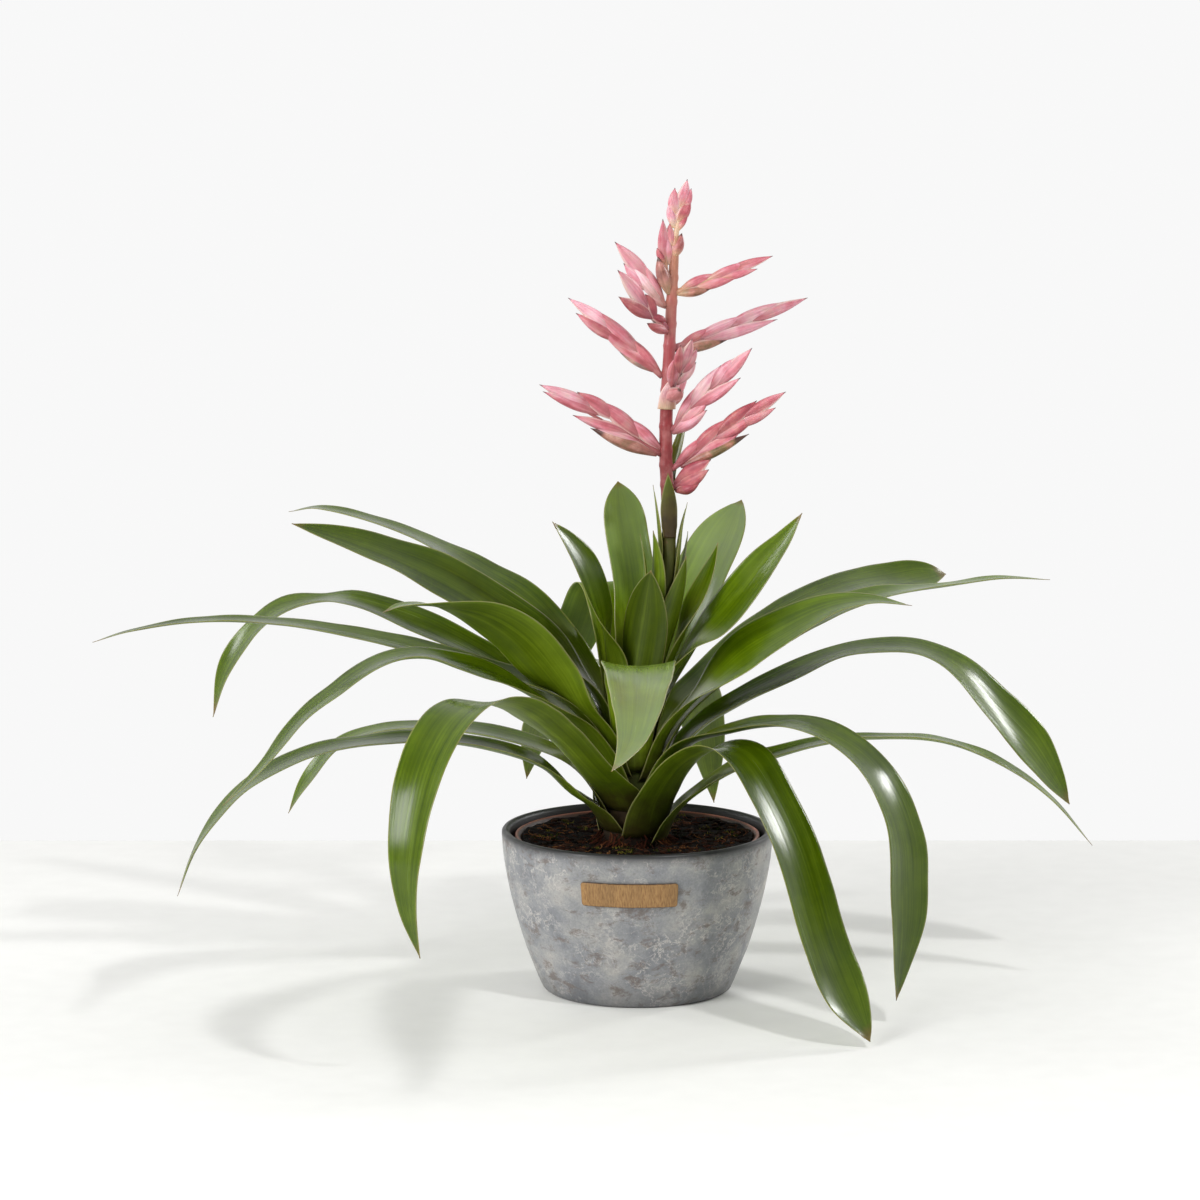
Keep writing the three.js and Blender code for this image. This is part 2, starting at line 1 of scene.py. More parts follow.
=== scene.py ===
"""Potted guzmania: arching strap leaves round one branched pink flower stem, in a nursery pot inside a
stone-effect pot. Metres, +Z up, the front towards -Y. Shapes are written in millimetres and turned to metres
by MM."""

import functools
import math
import random

import bpy
from mathutils import Matrix, Vector, noise


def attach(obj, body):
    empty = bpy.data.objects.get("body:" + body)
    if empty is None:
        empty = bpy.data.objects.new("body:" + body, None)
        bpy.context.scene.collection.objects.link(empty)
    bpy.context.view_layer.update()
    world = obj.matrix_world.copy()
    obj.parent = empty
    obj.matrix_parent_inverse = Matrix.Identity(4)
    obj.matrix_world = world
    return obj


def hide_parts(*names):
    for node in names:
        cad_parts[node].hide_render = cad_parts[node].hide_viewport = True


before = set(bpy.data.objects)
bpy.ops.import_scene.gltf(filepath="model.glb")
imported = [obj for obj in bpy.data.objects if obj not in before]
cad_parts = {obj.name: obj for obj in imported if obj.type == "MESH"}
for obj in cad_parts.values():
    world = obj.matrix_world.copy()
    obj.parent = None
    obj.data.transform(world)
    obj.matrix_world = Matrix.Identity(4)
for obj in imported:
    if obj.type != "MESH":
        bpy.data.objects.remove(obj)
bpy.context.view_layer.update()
MM = 0.001


# The round pot: fibre clay cast in a mould and painted to look like weathered stone, greys rubbed over with
# cream and brown, then sealed. It is one shell with a rounded charcoal lip and inside, on a flat base.
POT_OUTSIDE = [
    (55, 0), (56.8, 0.3), (58.4, 1.6), (60.5, 6), (64.7, 16.5), (69.1, 28), (72.7, 39.4), (76, 50.8),
    (78.8, 62.3), (81, 73.7), (82.6, 85.2), (83.5, 97), (83.4, 98.8), (82.7, 99.8), (81.6, 100.1),
]
POT_INSIDE = [
    (80.4, 100), (79, 99.2), (78.5, 97.8), (77.6, 85), (76, 73), (71, 51), (62, 22), (56, 8.6), (53.5, 7),
]
WALL_FROM, WALL_TO = 2, 12
POT_SIDES, WALL_STEPS = 160, 40
LIP_RING, LIP_FADE = 40.5, 0.4
WOBBLE, WOBBLE_SIZE, FOOT_HEIGHT, FLOOR_RADIUS = 0.25, 38, 2, 20


def clamp(x, low=0.0, high=1.0):
    """The number, kept between two limits."""
    return min(max(x, low), high)


def smooth_curve(rows, at=None):
    """A smooth curve through rows of numbers, as its length and a function that reads it. at gives each row's
    place along it; without it the rows lie apart by the distance between their first two numbers."""
    if at is None:
        at = [0.0]
        for a, b in zip(rows, rows[1:]):
            at.append(at[-1] + math.hypot(b[0] - a[0], b[1] - a[1]))
    last = len(rows) - 1
    slopes = []
    for k in range(last + 1):
        a, b = max(k - 1, 0), min(k + 1, last)
        slopes.append([(y - x) / (at[b] - at[a]) for x, y in zip(rows[a], rows[b])])

    def read(s):
        s = clamp(s, at[0], at[-1])
        k = next((i for i in range(1, last) if s <= at[i]), last)
        span = at[k] - at[k - 1]
        t = (s - at[k - 1]) / span
        start, end = 2 * t**3 - 3 * t**2 + 1, 3 * t**2 - 2 * t**3
        leave, reach = (t**3 - 2 * t**2 + t) * span, (t**3 - t**2) * span
        parts = zip(rows[k - 1], slopes[k - 1], rows[k], slopes[k])
        return [start * a + leave * da + end * b + reach * db for a, da, b, db in parts]

    return at[-1], read


def turned(profile, sides, lift=lambda point: point):
    """Turns (radius, height) points about the Z axis. The first and last are closed by a fan to the axis."""
    points = []
    for r, z in profile:
        for i in range(sides):
            a = 2 * math.pi * i / sides
            points.append(lift(Vector((r * math.cos(a), r * math.sin(a), z))))
    faces = []
    for k in range(len(profile) - 1):
        for i in range(sides):
            j = (i + 1) % sides
            faces.append((k * sides + i, k * sides + j, (k + 1) * sides + j, (k + 1) * sides + i))
    for k, z in ((0, profile[0][1]), (len(profile) - 1, profile[-1][1])):
        points.append(lift(Vector((0, 0, z))))
        for i in range(sides):
            ends = (k * sides + i, k * sides + (i + 1) % sides)
            faces.append((*(ends[::-1] if k == 0 else ends), len(points) - 1))
    return points, faces


def mesh_piece(name, points, faces, material, values=None):
    """A smooth mesh object from points in millimetres. values has a number for each point under each name."""
    mesh = bpy.data.meshes.new(name)
    mesh.from_pydata([tuple(c * MM for c in p) for p in points], [], faces)
    for title, numbers in (values or {}).items():
        mesh.attributes.new(title, "FLOAT", "POINT").data.foreach_set("value", numbers)
    mesh.materials.append(material)
    mesh.polygons.foreach_set("use_smooth", [True] * len(mesh.polygons))
    mesh.update()
    piece = bpy.data.objects.new(name, mesh)
    bpy.context.scene.collection.objects.link(piece)
    return piece


def linear(colour):
    """The linear colour of an sRGB hex colour."""
    channels = [int(colour[i : i + 2], 16) / 255 for i in (1, 3, 5)]
    return (*[c / 12.92 if c <= 0.04045 else ((c + 0.055) / 1.055) ** 2.4 for c in channels], 1.0)


def add_node(tree, kind, inputs, out=0, stops=(), **settings):
    """Adds a shader node and gives one of its outputs. inputs are numbers, hex colours or other nodes'
    outputs, in the order of the sockets or by socket. stops are a ramp's (position, hex colour) pairs, and
    settings are the node's own properties."""
    made = tree.nodes.new("ShaderNode" + kind)
    for name, value in settings.items():
        setattr(made, name, value)
    for socket, value in inputs.items() if isinstance(inputs, dict) else enumerate(inputs):
        if isinstance(value, bpy.types.NodeSocket):
            tree.links.new(value, made.inputs[socket])
        else:
            made.inputs[socket].default_value = linear(value) if isinstance(value, str) else value
    if stops:
        elements = made.color_ramp.elements
        elements.remove(elements[-1])
        elements[0].position, elements[0].color = stops[0][0], linear(stops[0][1])
        for position, colour in stops[1:]:
            elements.new(position).color = linear(colour)
    return made.outputs[out] if made.outputs else None


def new_material(name, surface):
    """A material of one shader. surface adds the nodes of its patterns and gives the shader's inputs."""
    material = bpy.data.materials.new(name)
    material.use_nodes = True
    material.node_tree.nodes.clear()
    add = functools.partial(add_node, material.node_tree)
    add("OutputMaterial", {"Surface": add("BsdfPrincipled", surface(add))})
    return material


def painted_stone(add):
    """Weathered stone paint on clay: cloudy greys 30 mm across, cream threads, brown rubs, a fine speckle."""
    place = add("TexCoord", (), out="Object")
    wiped = add("Mapping", {"Vector": place, "Scale": (1.0, 1.0, 1.7)})
    bare = add("Attribute", (), attribute_name="bare", out="Fac")
    # What each pattern lies on, its size in millimetres, detail, roughness and distortion.
    patterns = [
        (place, 30, 8, 0.66, 0.15), (place, 11, 10, 0.68, 0.3), (wiped, 34, 6, 0.7, 0.2),
        (wiped, 15, 9, 0.74, 0.5), (place, 1.3, 4, 0.7, 0.0),
    ]
    made = []
    for k, (way, size, detail, rough, twist) in enumerate(patterns):
        inputs = {"Vector": way, "W": 2.0 * k, "Scale": 1 / size / MM, "Detail": detail, "Roughness": rough}
        made.append(add("TexNoise", inputs | {"Distortion": twist}, noise_dimensions="4D"))
    clouds, webs, patches, rubs, speckle = made
    greys = [(0.36, "#76787d"), (0.46, "#888a8e"), (0.56, "#9a9a9a"), (0.68, "#b1ada8")]
    colour = add("ValToRGB", (clouds,), stops=greys)
    threads = [(0.47, "#000000"), (0.494, "#ffffff"), (0.499, "#ffffff"), (0.515, "#000000")]
    threads = add("ValToRGB", (webs,), stops=threads)
    patches = add("MapRange", (patches, 0.45, 0.6, 0.08, 0.85))
    threads = add("Math", (threads, patches), operation="MULTIPLY")
    rubs = add("MapRange", (rubs, 0.53, 0.61, 0.0, 0.8))
    shade = add("MapRange", (speckle, 0.25, 0.75, 0.78, 1.18))
    height = add("SeparateXYZ", (place,), out="Z")
    # Painted shade: the lowest 20 mm of the wall darken towards the floor, to half at the foot.
    foot = add("MapRange", (height, 0.0, 20 * MM, 0.5, 1.0))
    shade = add("Math", (shade, foot), operation="MULTIPLY")
    for cover, paint, blend in (
        (threads, "#cdc7c2", "MIX"), (rubs, "#6f635d", "MIX"), (1.0, shade, "MULTIPLY"),
        (bare, "#2c2c2e", "MIX"),
    ):
        colour = add("Mix", {0: cover, 6: colour, 7: paint}, out=2, data_type="RGBA", blend_type=blend)
    rough = add("MapRange", (webs, 0.3, 0.7, 0.34, 0.52))
    bump = add("Bump", {"Height": speckle, "Strength": 0.35, "Distance": 0.12 * MM})
    bump = add("Bump", {"Height": webs, "Strength": 0.5, "Distance": 0.3 * MM, "Normal": bump})
    return {"Base Color": colour, "Roughness": rough, "IOR": 1.5, "Normal": bump}


def cast_wall(point):
    """The slight unevenness of a hand-finished wall, a tenth of a millimetre or so."""
    flat = Vector((point.x, point.y, 0))
    if flat.length <= FLOOR_RADIUS or point.z <= FOOT_HEIGHT:
        return point
    return point + flat.normalized() * (WOBBLE * noise.noise(point / WOBBLE_SIZE))


wall_length, wall = smooth_curve(POT_OUTSIDE[WALL_FROM:WALL_TO])
wall_rows = [tuple(wall(wall_length * i / WALL_STEPS)) for i in range(WALL_STEPS + 1)]
pot_profile = POT_OUTSIDE[:WALL_FROM] + wall_rows + POT_OUTSIDE[WALL_TO:] + POT_INSIDE
points, faces = turned(pot_profile, POT_SIDES, cast_wall)
bare = [clamp(LIP_FADE * (i // POT_SIDES - LIP_RING)) for i in range(len(points))]
stone_paint = new_material("stone_paint_on_clay", painted_stone)
stone_pot = mesh_piece("stone_pot", points, faces, stone_paint, {"bare": bare})
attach(stone_pot, "root")
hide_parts("pot")


# The plate on the pot's front: a strip of bamboo 2 mm thick, cut by laser, which scorches its edges, bent to
# the pot's wall and glued on. Its grain runs up and down.
PLATE_ANGLE = math.radians(-93.9)
PLATE_WIDTH, PLATE_LOW, PLATE_HIGH, PLATE_THICK = 58, 67.8, 82.6, 2.0
PLATE_CORNER, PLATE_GLUE = 1.8, 0.35
EDGE_DROP, EDGE_ROUND, SCORCH_REACH = 0.4, 0.5, 0.9
PLATE_COLUMNS, PLATE_ROWS = 72, 22


def pot_radius(z):
    """The outside radius of the pot at a height."""
    for (r0, z0), (r1, z1) in zip(POT_OUTSIDE, POT_OUTSIDE[1:]):
        if z <= z1:
            return r0 + (r1 - r0) * (z - z0) / (z1 - z0)
    return POT_OUTSIDE[-1][0]


def bamboo(add):
    """Oiled bamboo: straight fibres 0.7 mm apart, scorched brown along the cut edges."""
    place = add("TexCoord", (), out="Object")
    edge = add("Attribute", (), attribute_name="edge", out="Fac")
    long = add("Mapping", {"Vector": place, "Scale": (1, 1, 0.06)})
    fibres = add("TexNoise", {"Vector": long, "Scale": 1 / 0.7 / MM, "Detail": 3, "Roughness": 0.6})
    bands = add("TexNoise", {"Vector": long, "Scale": 1 / 9 / MM, "Detail": 2})
    blur = add("TexNoise", {"Vector": place, "Scale": 1 / 3 / MM, "Detail": 3})
    tint = add("MapRange", (bands, 0.3, 0.7, 0.84, 1.12))
    blur = add("MapRange", (blur, 0.3, 0.7, -0.25, 0.25))
    scorch = add("Math", (edge, blur), operation="ADD")
    scorch = add("MapRange", (scorch, 0.45, 1.1, 0.0, 0.9), interpolation_type="SMOOTHSTEP")
    colour = add("ValToRGB", (fibres,), stops=[(0.3, "#7c5831"), (0.5, "#9a7446"), (0.72, "#b08955")])
    for cover, paint, blend in ((1.0, tint, "MULTIPLY"), (scorch, "#3f2714", "MIX")):
        colour = add("Mix", {0: cover, 6: colour, 7: paint}, out=2, data_type="RGBA", blend_type=blend)
    bump = add("Bump", {"Height": fibres, "Strength": 0.4, "Distance": 0.06 * MM})
    return {"Base Color": colour, "Roughness": 0.42, "IOR": 1.5, "Normal": bump}


def grid_slab(long, across):
    """The faces of a closed slab of two equal grids of points, the lower grid first."""
    wide = across + 1
    upper = (long + 1) * wide
    faces = []
    for i in range(long):
        for j in range(across):
            a = i * wide + j
            faces.append((a, a + 1, a + wide + 1, a + wide))
            faces.append((a + upper, a + upper + wide, a + upper + wide + 1, a + upper + 1))
        for p, q in ((i * wide, (i + 1) * wide), ((i + 1) * wide + across, i * wide + across)):
            faces.append((p, q, q + upper, p + upper))
    for j in range(across):
        end = long * wide + j
        faces.append((j + 1, j, j + upper, j + 1 + upper))
        faces.append((end, end + 1, end + 1 + upper, end + upper))
    return faces


def plate_points():
    """The plate's lower and upper grids, and how near each point is to the cut edge, from 0 to 1."""
    points, edge = [], []
    middle, reach, half = (PLATE_LOW + PLATE_HIGH) / 2, (PLATE_HIGH - PLATE_LOW) / 2, PLATE_WIDTH / 2
    for top in (False, True):
        for i in range(PLATE_COLUMNS + 1):
            t = math.sin(math.pi / 2 * (2 * i / PLATE_COLUMNS - 1))
            inset = clamp(abs(t) * half - (half - PLATE_CORNER), 0.0, PLATE_CORNER)
            tall = reach - (PLATE_CORNER - math.sqrt(PLATE_CORNER**2 - inset**2))
            for j in range(PLATE_ROWS + 1):
                u = math.sin(math.pi / 2 * (2 * j / PLATE_ROWS - 1))
                near = min(half * (1 - abs(t)), tall * (1 - abs(u)))
                rounding = EDGE_DROP * max(0.0, 1 - near / EDGE_ROUND) ** 2
                z = middle + tall * u
                a = PLATE_ANGLE + t * half / pot_radius(middle)
                r = pot_radius(z) + (PLATE_GLUE + (PLATE_THICK - rounding if top else 0))
                points.append(Vector((r * math.cos(a), r * math.sin(a), z)))
                edge.append(max(0.0, 1 - near / SCORCH_REACH) if top else 1.0)
    return points, edge


points, edge = plate_points()
faces = grid_slab(PLATE_COLUMNS, PLATE_ROWS)
bamboo_plate = mesh_piece("bamboo_plate", points, faces, new_material("oiled_bamboo", bamboo), {"edge": edge})
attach(bamboo_plate, "root")
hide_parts("name_plate")


# The nursery pot: a thin cup moulded in brick-coloured polypropylene, with a rolled rim that shows as a
# narrow ring inside the stone pot. It stands on the stone pot's floor and holds the soil.
LINER_PROFILE = [
    (50, 7.3), (52.4, 7.4), (53, 8.8), (60, 38), (66.5, 68), (72.2, 93.3), (72.6, 93.5), (75, 93.5),
    (75.4, 93.9), (75.4, 95.9), (75.2, 96.4), (74.8, 96.6), (74.0, 96.6), (73.5, 96.3), (73.1, 95.6),
    (71.1, 94), (65, 68), (58.6, 38), (51.7, 9.4), (50.7, 8.6),
]
RIM_RING, INSIDE_DARKENING, DARKEST_INSIDE = 12, 0.45, 0.9


def polypropylene(add):
    """Moulded polypropylene: dull brick red, a faint swirl of pigment, specks of dirt, near black inside."""
    place = add("TexCoord", (), out="Object")
    inside = add("Attribute", (), attribute_name="inside", out="Fac")
    swirl = add("TexNoise", {"Vector": place, "Scale": 1 / 20 / MM, "Detail": 4, "Distortion": 1.0})
    dust = add("TexNoise", {"Vector": place, "Scale": 1 / 1.8 / MM, "Detail": 5, "Roughness": 0.7})
    dirt_and_dark_inside = add("MapRange", (dust, 0.55, 0.72, 0.0, 0.7))
    # The inside wall is made near black from the rim down, together with the specks of dirt.
    dirt_and_dark_inside = add("Math", (dirt_and_dark_inside, inside), operation="MAXIMUM")
    colour = add("ValToRGB", (swirl,), stops=[(0.3, "#8f5343"), (0.7, "#b97764")])
    colour = add("Mix", {0: dirt_and_dark_inside, 6: colour, 7: "#2c1a13"}, out=2, data_type="RGBA")
    rough = add("MapRange", (dust, 0.3, 0.7, 0.35, 0.6))
    bump = add("Bump", {"Height": dust, "Strength": 0.2, "Distance": 0.05 * MM})
    return {"Base Color": colour, "Roughness": rough, "IOR": 1.49, "Normal": bump}


points, faces = turned(LINER_PROFILE, POT_SIDES)
inside = [clamp(INSIDE_DARKENING * (i // POT_SIDES - RIM_RING), 0.0, DARKEST_INSIDE) for i in range(len(points))]
moulded_plastic = new_material("moulded_polypropylene", polypropylene)
plastic_pot = mesh_piece("plastic_pot", points, faces, moulded_plastic, {"inside": inside})
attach(plastic_pot, "root")
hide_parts("nursery_pot")


# The soil: damp peat and composted bark, lumpy, a little higher at the rim, with loose bark, root fibres and
# bits of moss on top. The roots are inside it.
SOIL_EDGE, SOIL_LEVEL, SOIL_TOP_FROM = 71.0, 92.0, 91
SOIL_RINGS, SOIL_SIDES = 64, 200
SOIL_SIDE = [(48.5, 9), (50.6, 9.4), (57, 36), (63.5, 66), (69, 90)]
PLANT_X = -3.0
# The rise of the soil, from which radius, and over how far: the whole bowl, and the bank at the rim.
BOWL, BANK = (2.0, 30, 40), (1.3, 60, 11)
# The height and width of the soil's lumps, and where each is read from the noise.
LUMPS = [(1.5, 14, 3), (0.9, 4.5, 9), (0.6, 1.7, 5)]
CHIPS, FIBRES, CROWN_FIBRES, MOSS_TUFTS = 520, 300, 150, 70
CHIP_SIZE, CHIP_SIDES = [(1.6, 5.2), (1.0, 2.6), (0.5, 1.3)], 6
CHIP_RINGS = [(0.55, -0.8), (1.0, -0.1), (0.75, 0.75)]
FIBRE_RADIUS, FIBRE_STEP, FIBRE_STEPS, FIBRE_SIDES = (0.12, 0.34), (0.8, 2.0), 8, 5
CROWN_FIBRE_RADIUS, CROWN_FIBRE_WAY, CROWN_FIBRE_TOP = (0.15, 0.4), [19.6, 20.2, 21.4, 23.0], (93, 100)
MOSS_LENGTH, MOSS_RADII, MOSS_SIDES, TUFT_BLADES = (0.9, 2.2), [0.32, 0.3, 0.06], 4, (7, 15)
BARK, FIBRE, MOSS = 0.0, 1.0, 2.0


def soil_height(x, y):
    """The height of the soil's surface: a rise to the rim, lumps 14 mm and 4 mm across, and crumbs."""
    bowl, bank = (max(0.0, (math.hypot(x, y) - start) / wide) for _, start, wide in (BOWL, BANK))
    rise = BOWL[0] * bowl**0.7 + BANK[0] * bank
    lumps, small_lumps, crumbs = (high * noise.noise(Vector((x, y, at)) / wide) for high, wide, at in LUMPS)
    return SOIL_LEVEL + rise + (lumps + small_lumps) + crumbs


def peat(add):
    """Damp peat: near black, with reddish-brown crumbs about 2 mm across."""
    place = add("TexCoord", (), out="Object")
    crumbs = add("TexNoise", {"Vector": place, "Scale": 1 / 2.2 / MM, "Detail": 7, "Roughness": 0.75})
    browns = [(0.4, "#070403"), (0.56, "#120a07"), (0.68, "#26150d"), (0.82, "#442817")]
    colour = add("ValToRGB", (crumbs,), stops=browns)
    rough = add("MapRange", (crumbs, 0.3, 0.7, 0.95, 0.7))
    bump = add("Bump", {"Height": crumbs, "Strength": 0.9, "Distance": 1.2 * MM})
    return {"Base Color": colour, "Roughness": rough, "IOR": 1.2, "Normal": bump}


def bark_and_moss(add):
    """Bark, root fibres and moss, told apart by "kind": all matt and dark, each bit varied by "tone"."""
    kind = add("Attribute", (), attribute_name="kind", out="Fac")
    tone = add("Attribute", (), attribute_name="tone", out="Fac")
    place = add("TexCoord", (), out="Object")
    grain = add("TexNoise", {"Vector": place, "Scale": 1 / MM, "Detail": 4, "Roughness": 0.7})
    bark, fibre, moss = (
        add("ValToRGB", (tone,), stops=list(zip((0.0, 0.6, 1.0), colours)))
        for colours in (
            ("#0b0604", "#1c100a", "#3c2416"), ("#22100a", "#4a2416", "#8a5f38"),
            ("#1a1e06", "#363a0e", "#6a6226"),
        )
    )
    is_fibre = add("Math", (kind, (BARK + FIBRE) / 2), operation="GREATER_THAN")
    is_moss = add("Math", (kind, (FIBRE + MOSS) / 2), operation="GREATER_THAN")
    shade = add("MapRange", (grain, 0.3, 0.7, 0.65, 1.3))
    colour = bark
    for cover, paint, blend in ((is_fibre, fibre, "MIX"), (is_moss, moss, "MIX"), (1.0, shade, "MULTIPLY")):
        colour = add("Mix", {0: cover, 6: colour, 7: paint}, out=2, data_type="RGBA", blend_type=blend)
    bump = add("Bump", {"Height": grain, "Strength": 0.6, "Distance": 0.3 * MM})
    return {"Base Color": colour, "Roughness": 0.9, "IOR": 1.2, "Normal": bump}


def soil_surface(point):
    """Gives the flat top of the soil its own height."""
    return Vector((point.x, point.y, soil_height(point.x, point.y))) if point.z > SOIL_TOP_FROM else point


def tube(path, radii, sides):
    """Points and faces of a closed round tube along a list of points."""
    points, faces = [], []
    up = Vector((0.31, 0.2, 0.93))
    for k, centre in enumerate(path):
        ahead = (path[min(k + 1, len(path) - 1)] - path[max(k - 1, 0)]).normalized()
        side = ahead.cross(up).normalized()
        over = side.cross(ahead)
        for i in range(sides):
            a = 2 * math.pi * i / sides
            points.append(centre + radii[k] * (math.cos(a) * side + math.sin(a) * over))
    for k in range(len(path) - 1):
        for i in range(sides):
            j = (i + 1) % sides
            faces.append((k * sides + i, (k + 1) * sides + i, (k + 1) * sides + j, k * sides + j))
    faces.append(tuple(range(sides)))
    faces.append(tuple(reversed(range((len(path) - 1) * sides, len(path) * sides))))
    return points, faces


def joined(parts):
    """Several parts as the points, faces and values of one mesh. A part's values under a name are one number
    for each of its points, or a single one for them all."""
    points, faces, values = [], [], {}
    for made, made_faces, made_values in parts:
        start = len(points)
        points.extend(made)
        faces.extend(tuple(start + i for i in face) for face in made_faces)
        for title, numbers in made_values.items():
            values.setdefault(title, []).extend(numbers if len(numbers) == len(made) else numbers * len(made))
    return points, faces, values


def litter(rng):
    """The bits strewn over the soil, one by one: bark chips, curled root fibres, fibres that hang from the
    crown, and moss tufts."""

    def spot():
        r, a = SOIL_EDGE * 0.97 * math.sqrt(rng.random()), rng.uniform(0, 2 * math.pi)
        x, y = r * math.cos(a), r * math.sin(a)
        return Vector((x, y, soil_height(x, y)))

    n = CHIP_SIDES
    chip_faces = []
    for low in (0, n):
        chip_faces += [(low + i, low + (i + 1) % n, low + n + (i + 1) % n, low + n + i) for i in range(n)]
    chip_faces += [tuple(reversed(range(n))), tuple(range(2 * n, 3 * n))]
    for _ in range(CHIPS):
        size = Vector([rng.uniform(*span) for span in CHIP_SIZE])
        turn = Matrix.Rotation(rng.uniform(0, 6.3), 3, "Z") @ Matrix.Rotation(rng.uniform(-0.6, 0.6), 3, "X")
        ring = []
        for reach, z in CHIP_RINGS:
            for i in range(n):
                a = math.pi * (i + 0.5 * rng.random()) / (n / 2)
                ring.append((reach * math.cos(a), reach * math.sin(a), z))
        chip = [Vector((x * size.x, y * size.y, z * size.z)) * rng.uniform(0.8, 1.15) for x, y, z in ring]
        at = spot()
        yield [at + turn @ p for p in chip], chip_faces, {"kind": [BARK], "tone": [rng.random()]}
    for _ in range(FIBRES):
        at, a, bend = spot() + Vector((0, 0, 0.5)), rng.uniform(0, 6.3), rng.uniform(-0.5, 0.5)
        path = [at]
        for _ in range(FIBRE_STEPS):
            a += bend + rng.uniform(-0.35, 0.35)
            step = path[-1] + rng.uniform(*FIBRE_STEP) * Vector((math.cos(a), math.sin(a), 0))
            if math.hypot(step.x, step.y) > SOIL_EDGE - 1:
                break
            step.z = soil_height(step.x, step.y) + rng.uniform(0.1, 0.9)
            path.append(step)
        if len(path) > 3:
            made = tube(path, [rng.uniform(*FIBRE_RADIUS)] * len(path), FIBRE_SIDES)
            yield *made, {"kind": [FIBRE], "tone": [rng.random()]}
    for _ in range(CROWN_FIBRES):
        a, z = rng.uniform(0, 2 * math.pi), rng.uniform(*CROWN_FIBRE_TOP)
        path = []
        for r in (*CROWN_FIBRE_WAY, 25.0 + 4 * rng.random()):
            a += rng.uniform(-0.09, 0.09)
            x, y = PLANT_X + r * math.cos(a), r * math.sin(a)
            ground = soil_height(x, y) + 0.2
            path.append(Vector((x, y, ground + max(0.0, z - ground) * ((29 - r) / 9.4) ** 2)))
        made = tube(path, [rng.uniform(*CROWN_FIBRE_RADIUS)] * len(path), FIBRE_SIDES)
        yield *made, {"kind": [FIBRE], "tone": [0.8 * rng.random()]}
    for _ in range(MOSS_TUFTS):
        at = spot()
        tone = rng.random()
        for _ in range(rng.randint(*TUFT_BLADES)):
            foot = at + Vector((rng.gauss(0, 1.5), rng.gauss(0, 1.5), -0.3))
            tip = foot + Vector((rng.gauss(0, 0.9), rng.gauss(0, 0.9), rng.uniform(*MOSS_LENGTH)))
            middle = (foot + tip) / 2 + Vector((rng.gauss(0, 0.25), rng.gauss(0, 0.25), 0))
            made = tube([foot, middle, tip], MOSS_RADII, MOSS_SIDES)
            yield *made, {"kind": [MOSS], "tone": [clamp(tone + rng.gauss(0, 0.12))]}


soil_top = [(SOIL_EDGE * (1 - (k / SOIL_RINGS) ** 1.15), SOIL_LEVEL) for k in range(SOIL_RINGS)]
points, faces = turned(SOIL_SIDE + soil_top, SOIL_SIDES, soil_surface)
peat_soil = mesh_piece("peat_soil", points, faces, new_material("damp_peat", peat))
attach(peat_soil, "root")
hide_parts("soil")
points, faces, values = joined(litter(random.Random(11)))
loose_bits = new_material("bark_fibre_and_moss", bark_and_moss)
soil_litter = mesh_piece("soil_litter", points, faces, loose_bits, values)
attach(soil_litter, "root")


# The flower stem: a juicy green crown in the soil that the leaf bases wrap, painted near black there as
# the shade under them, drawn out into a firm round stem that leans to the right, green among the leaves and
# rose above them, with a ring at each spike.
CROWN = [(18, 72), (19, 73), (19, 92)]

# Height, how far right of the pot's centre, and radius.
STEM = [
    (162, -3, 6), (180, 2, 4.7), (200, 7.5, 4.3), (235, 14.6, 4.1), (267, 19, 4.1), (300, 18.4, 4),
    (334, 17, 4), (365, 17.6, 3.9), (395, 19, 3.6), (426, 20.4, 3.3), (450, 21.8, 2.8), (464, 22.8, 2),
]
STEM_END = [(1.9, 464.2), (1.2, 464.9)]
STEM_RINGS = [281, 312, 324, 333, 348, 362, 370, 380.5, 397, 410, 423.5, 431, 438, 458]
RING_RISE, RING_SPREAD = 0.45, 1.6
STEM_FROM, STEM_TO, FINE_FROM, FINE_STEP, COARSE_STEP, STEM_SIDES = 95.0, 464, 270, 1.5, 3.0, 40

stem_curve = smooth_curve(STEM, [row[0] for row in STEM])[1]


def stem_x(z):
    """How far right of the pot's centre the stem's middle is at a height."""
    return stem_curve(z)[1] if z > STEM[0][0] else PLANT_X


def stem_radius(z):
    """The radius of the stem, or of the crown below it."""
    (wide, top), (foot, _, narrow) = CROWN[-1], STEM[0]
    return stem_curve(z)[2] if z > foot else wide - (wide - narrow) * clamp((z - top) / (foot - top))


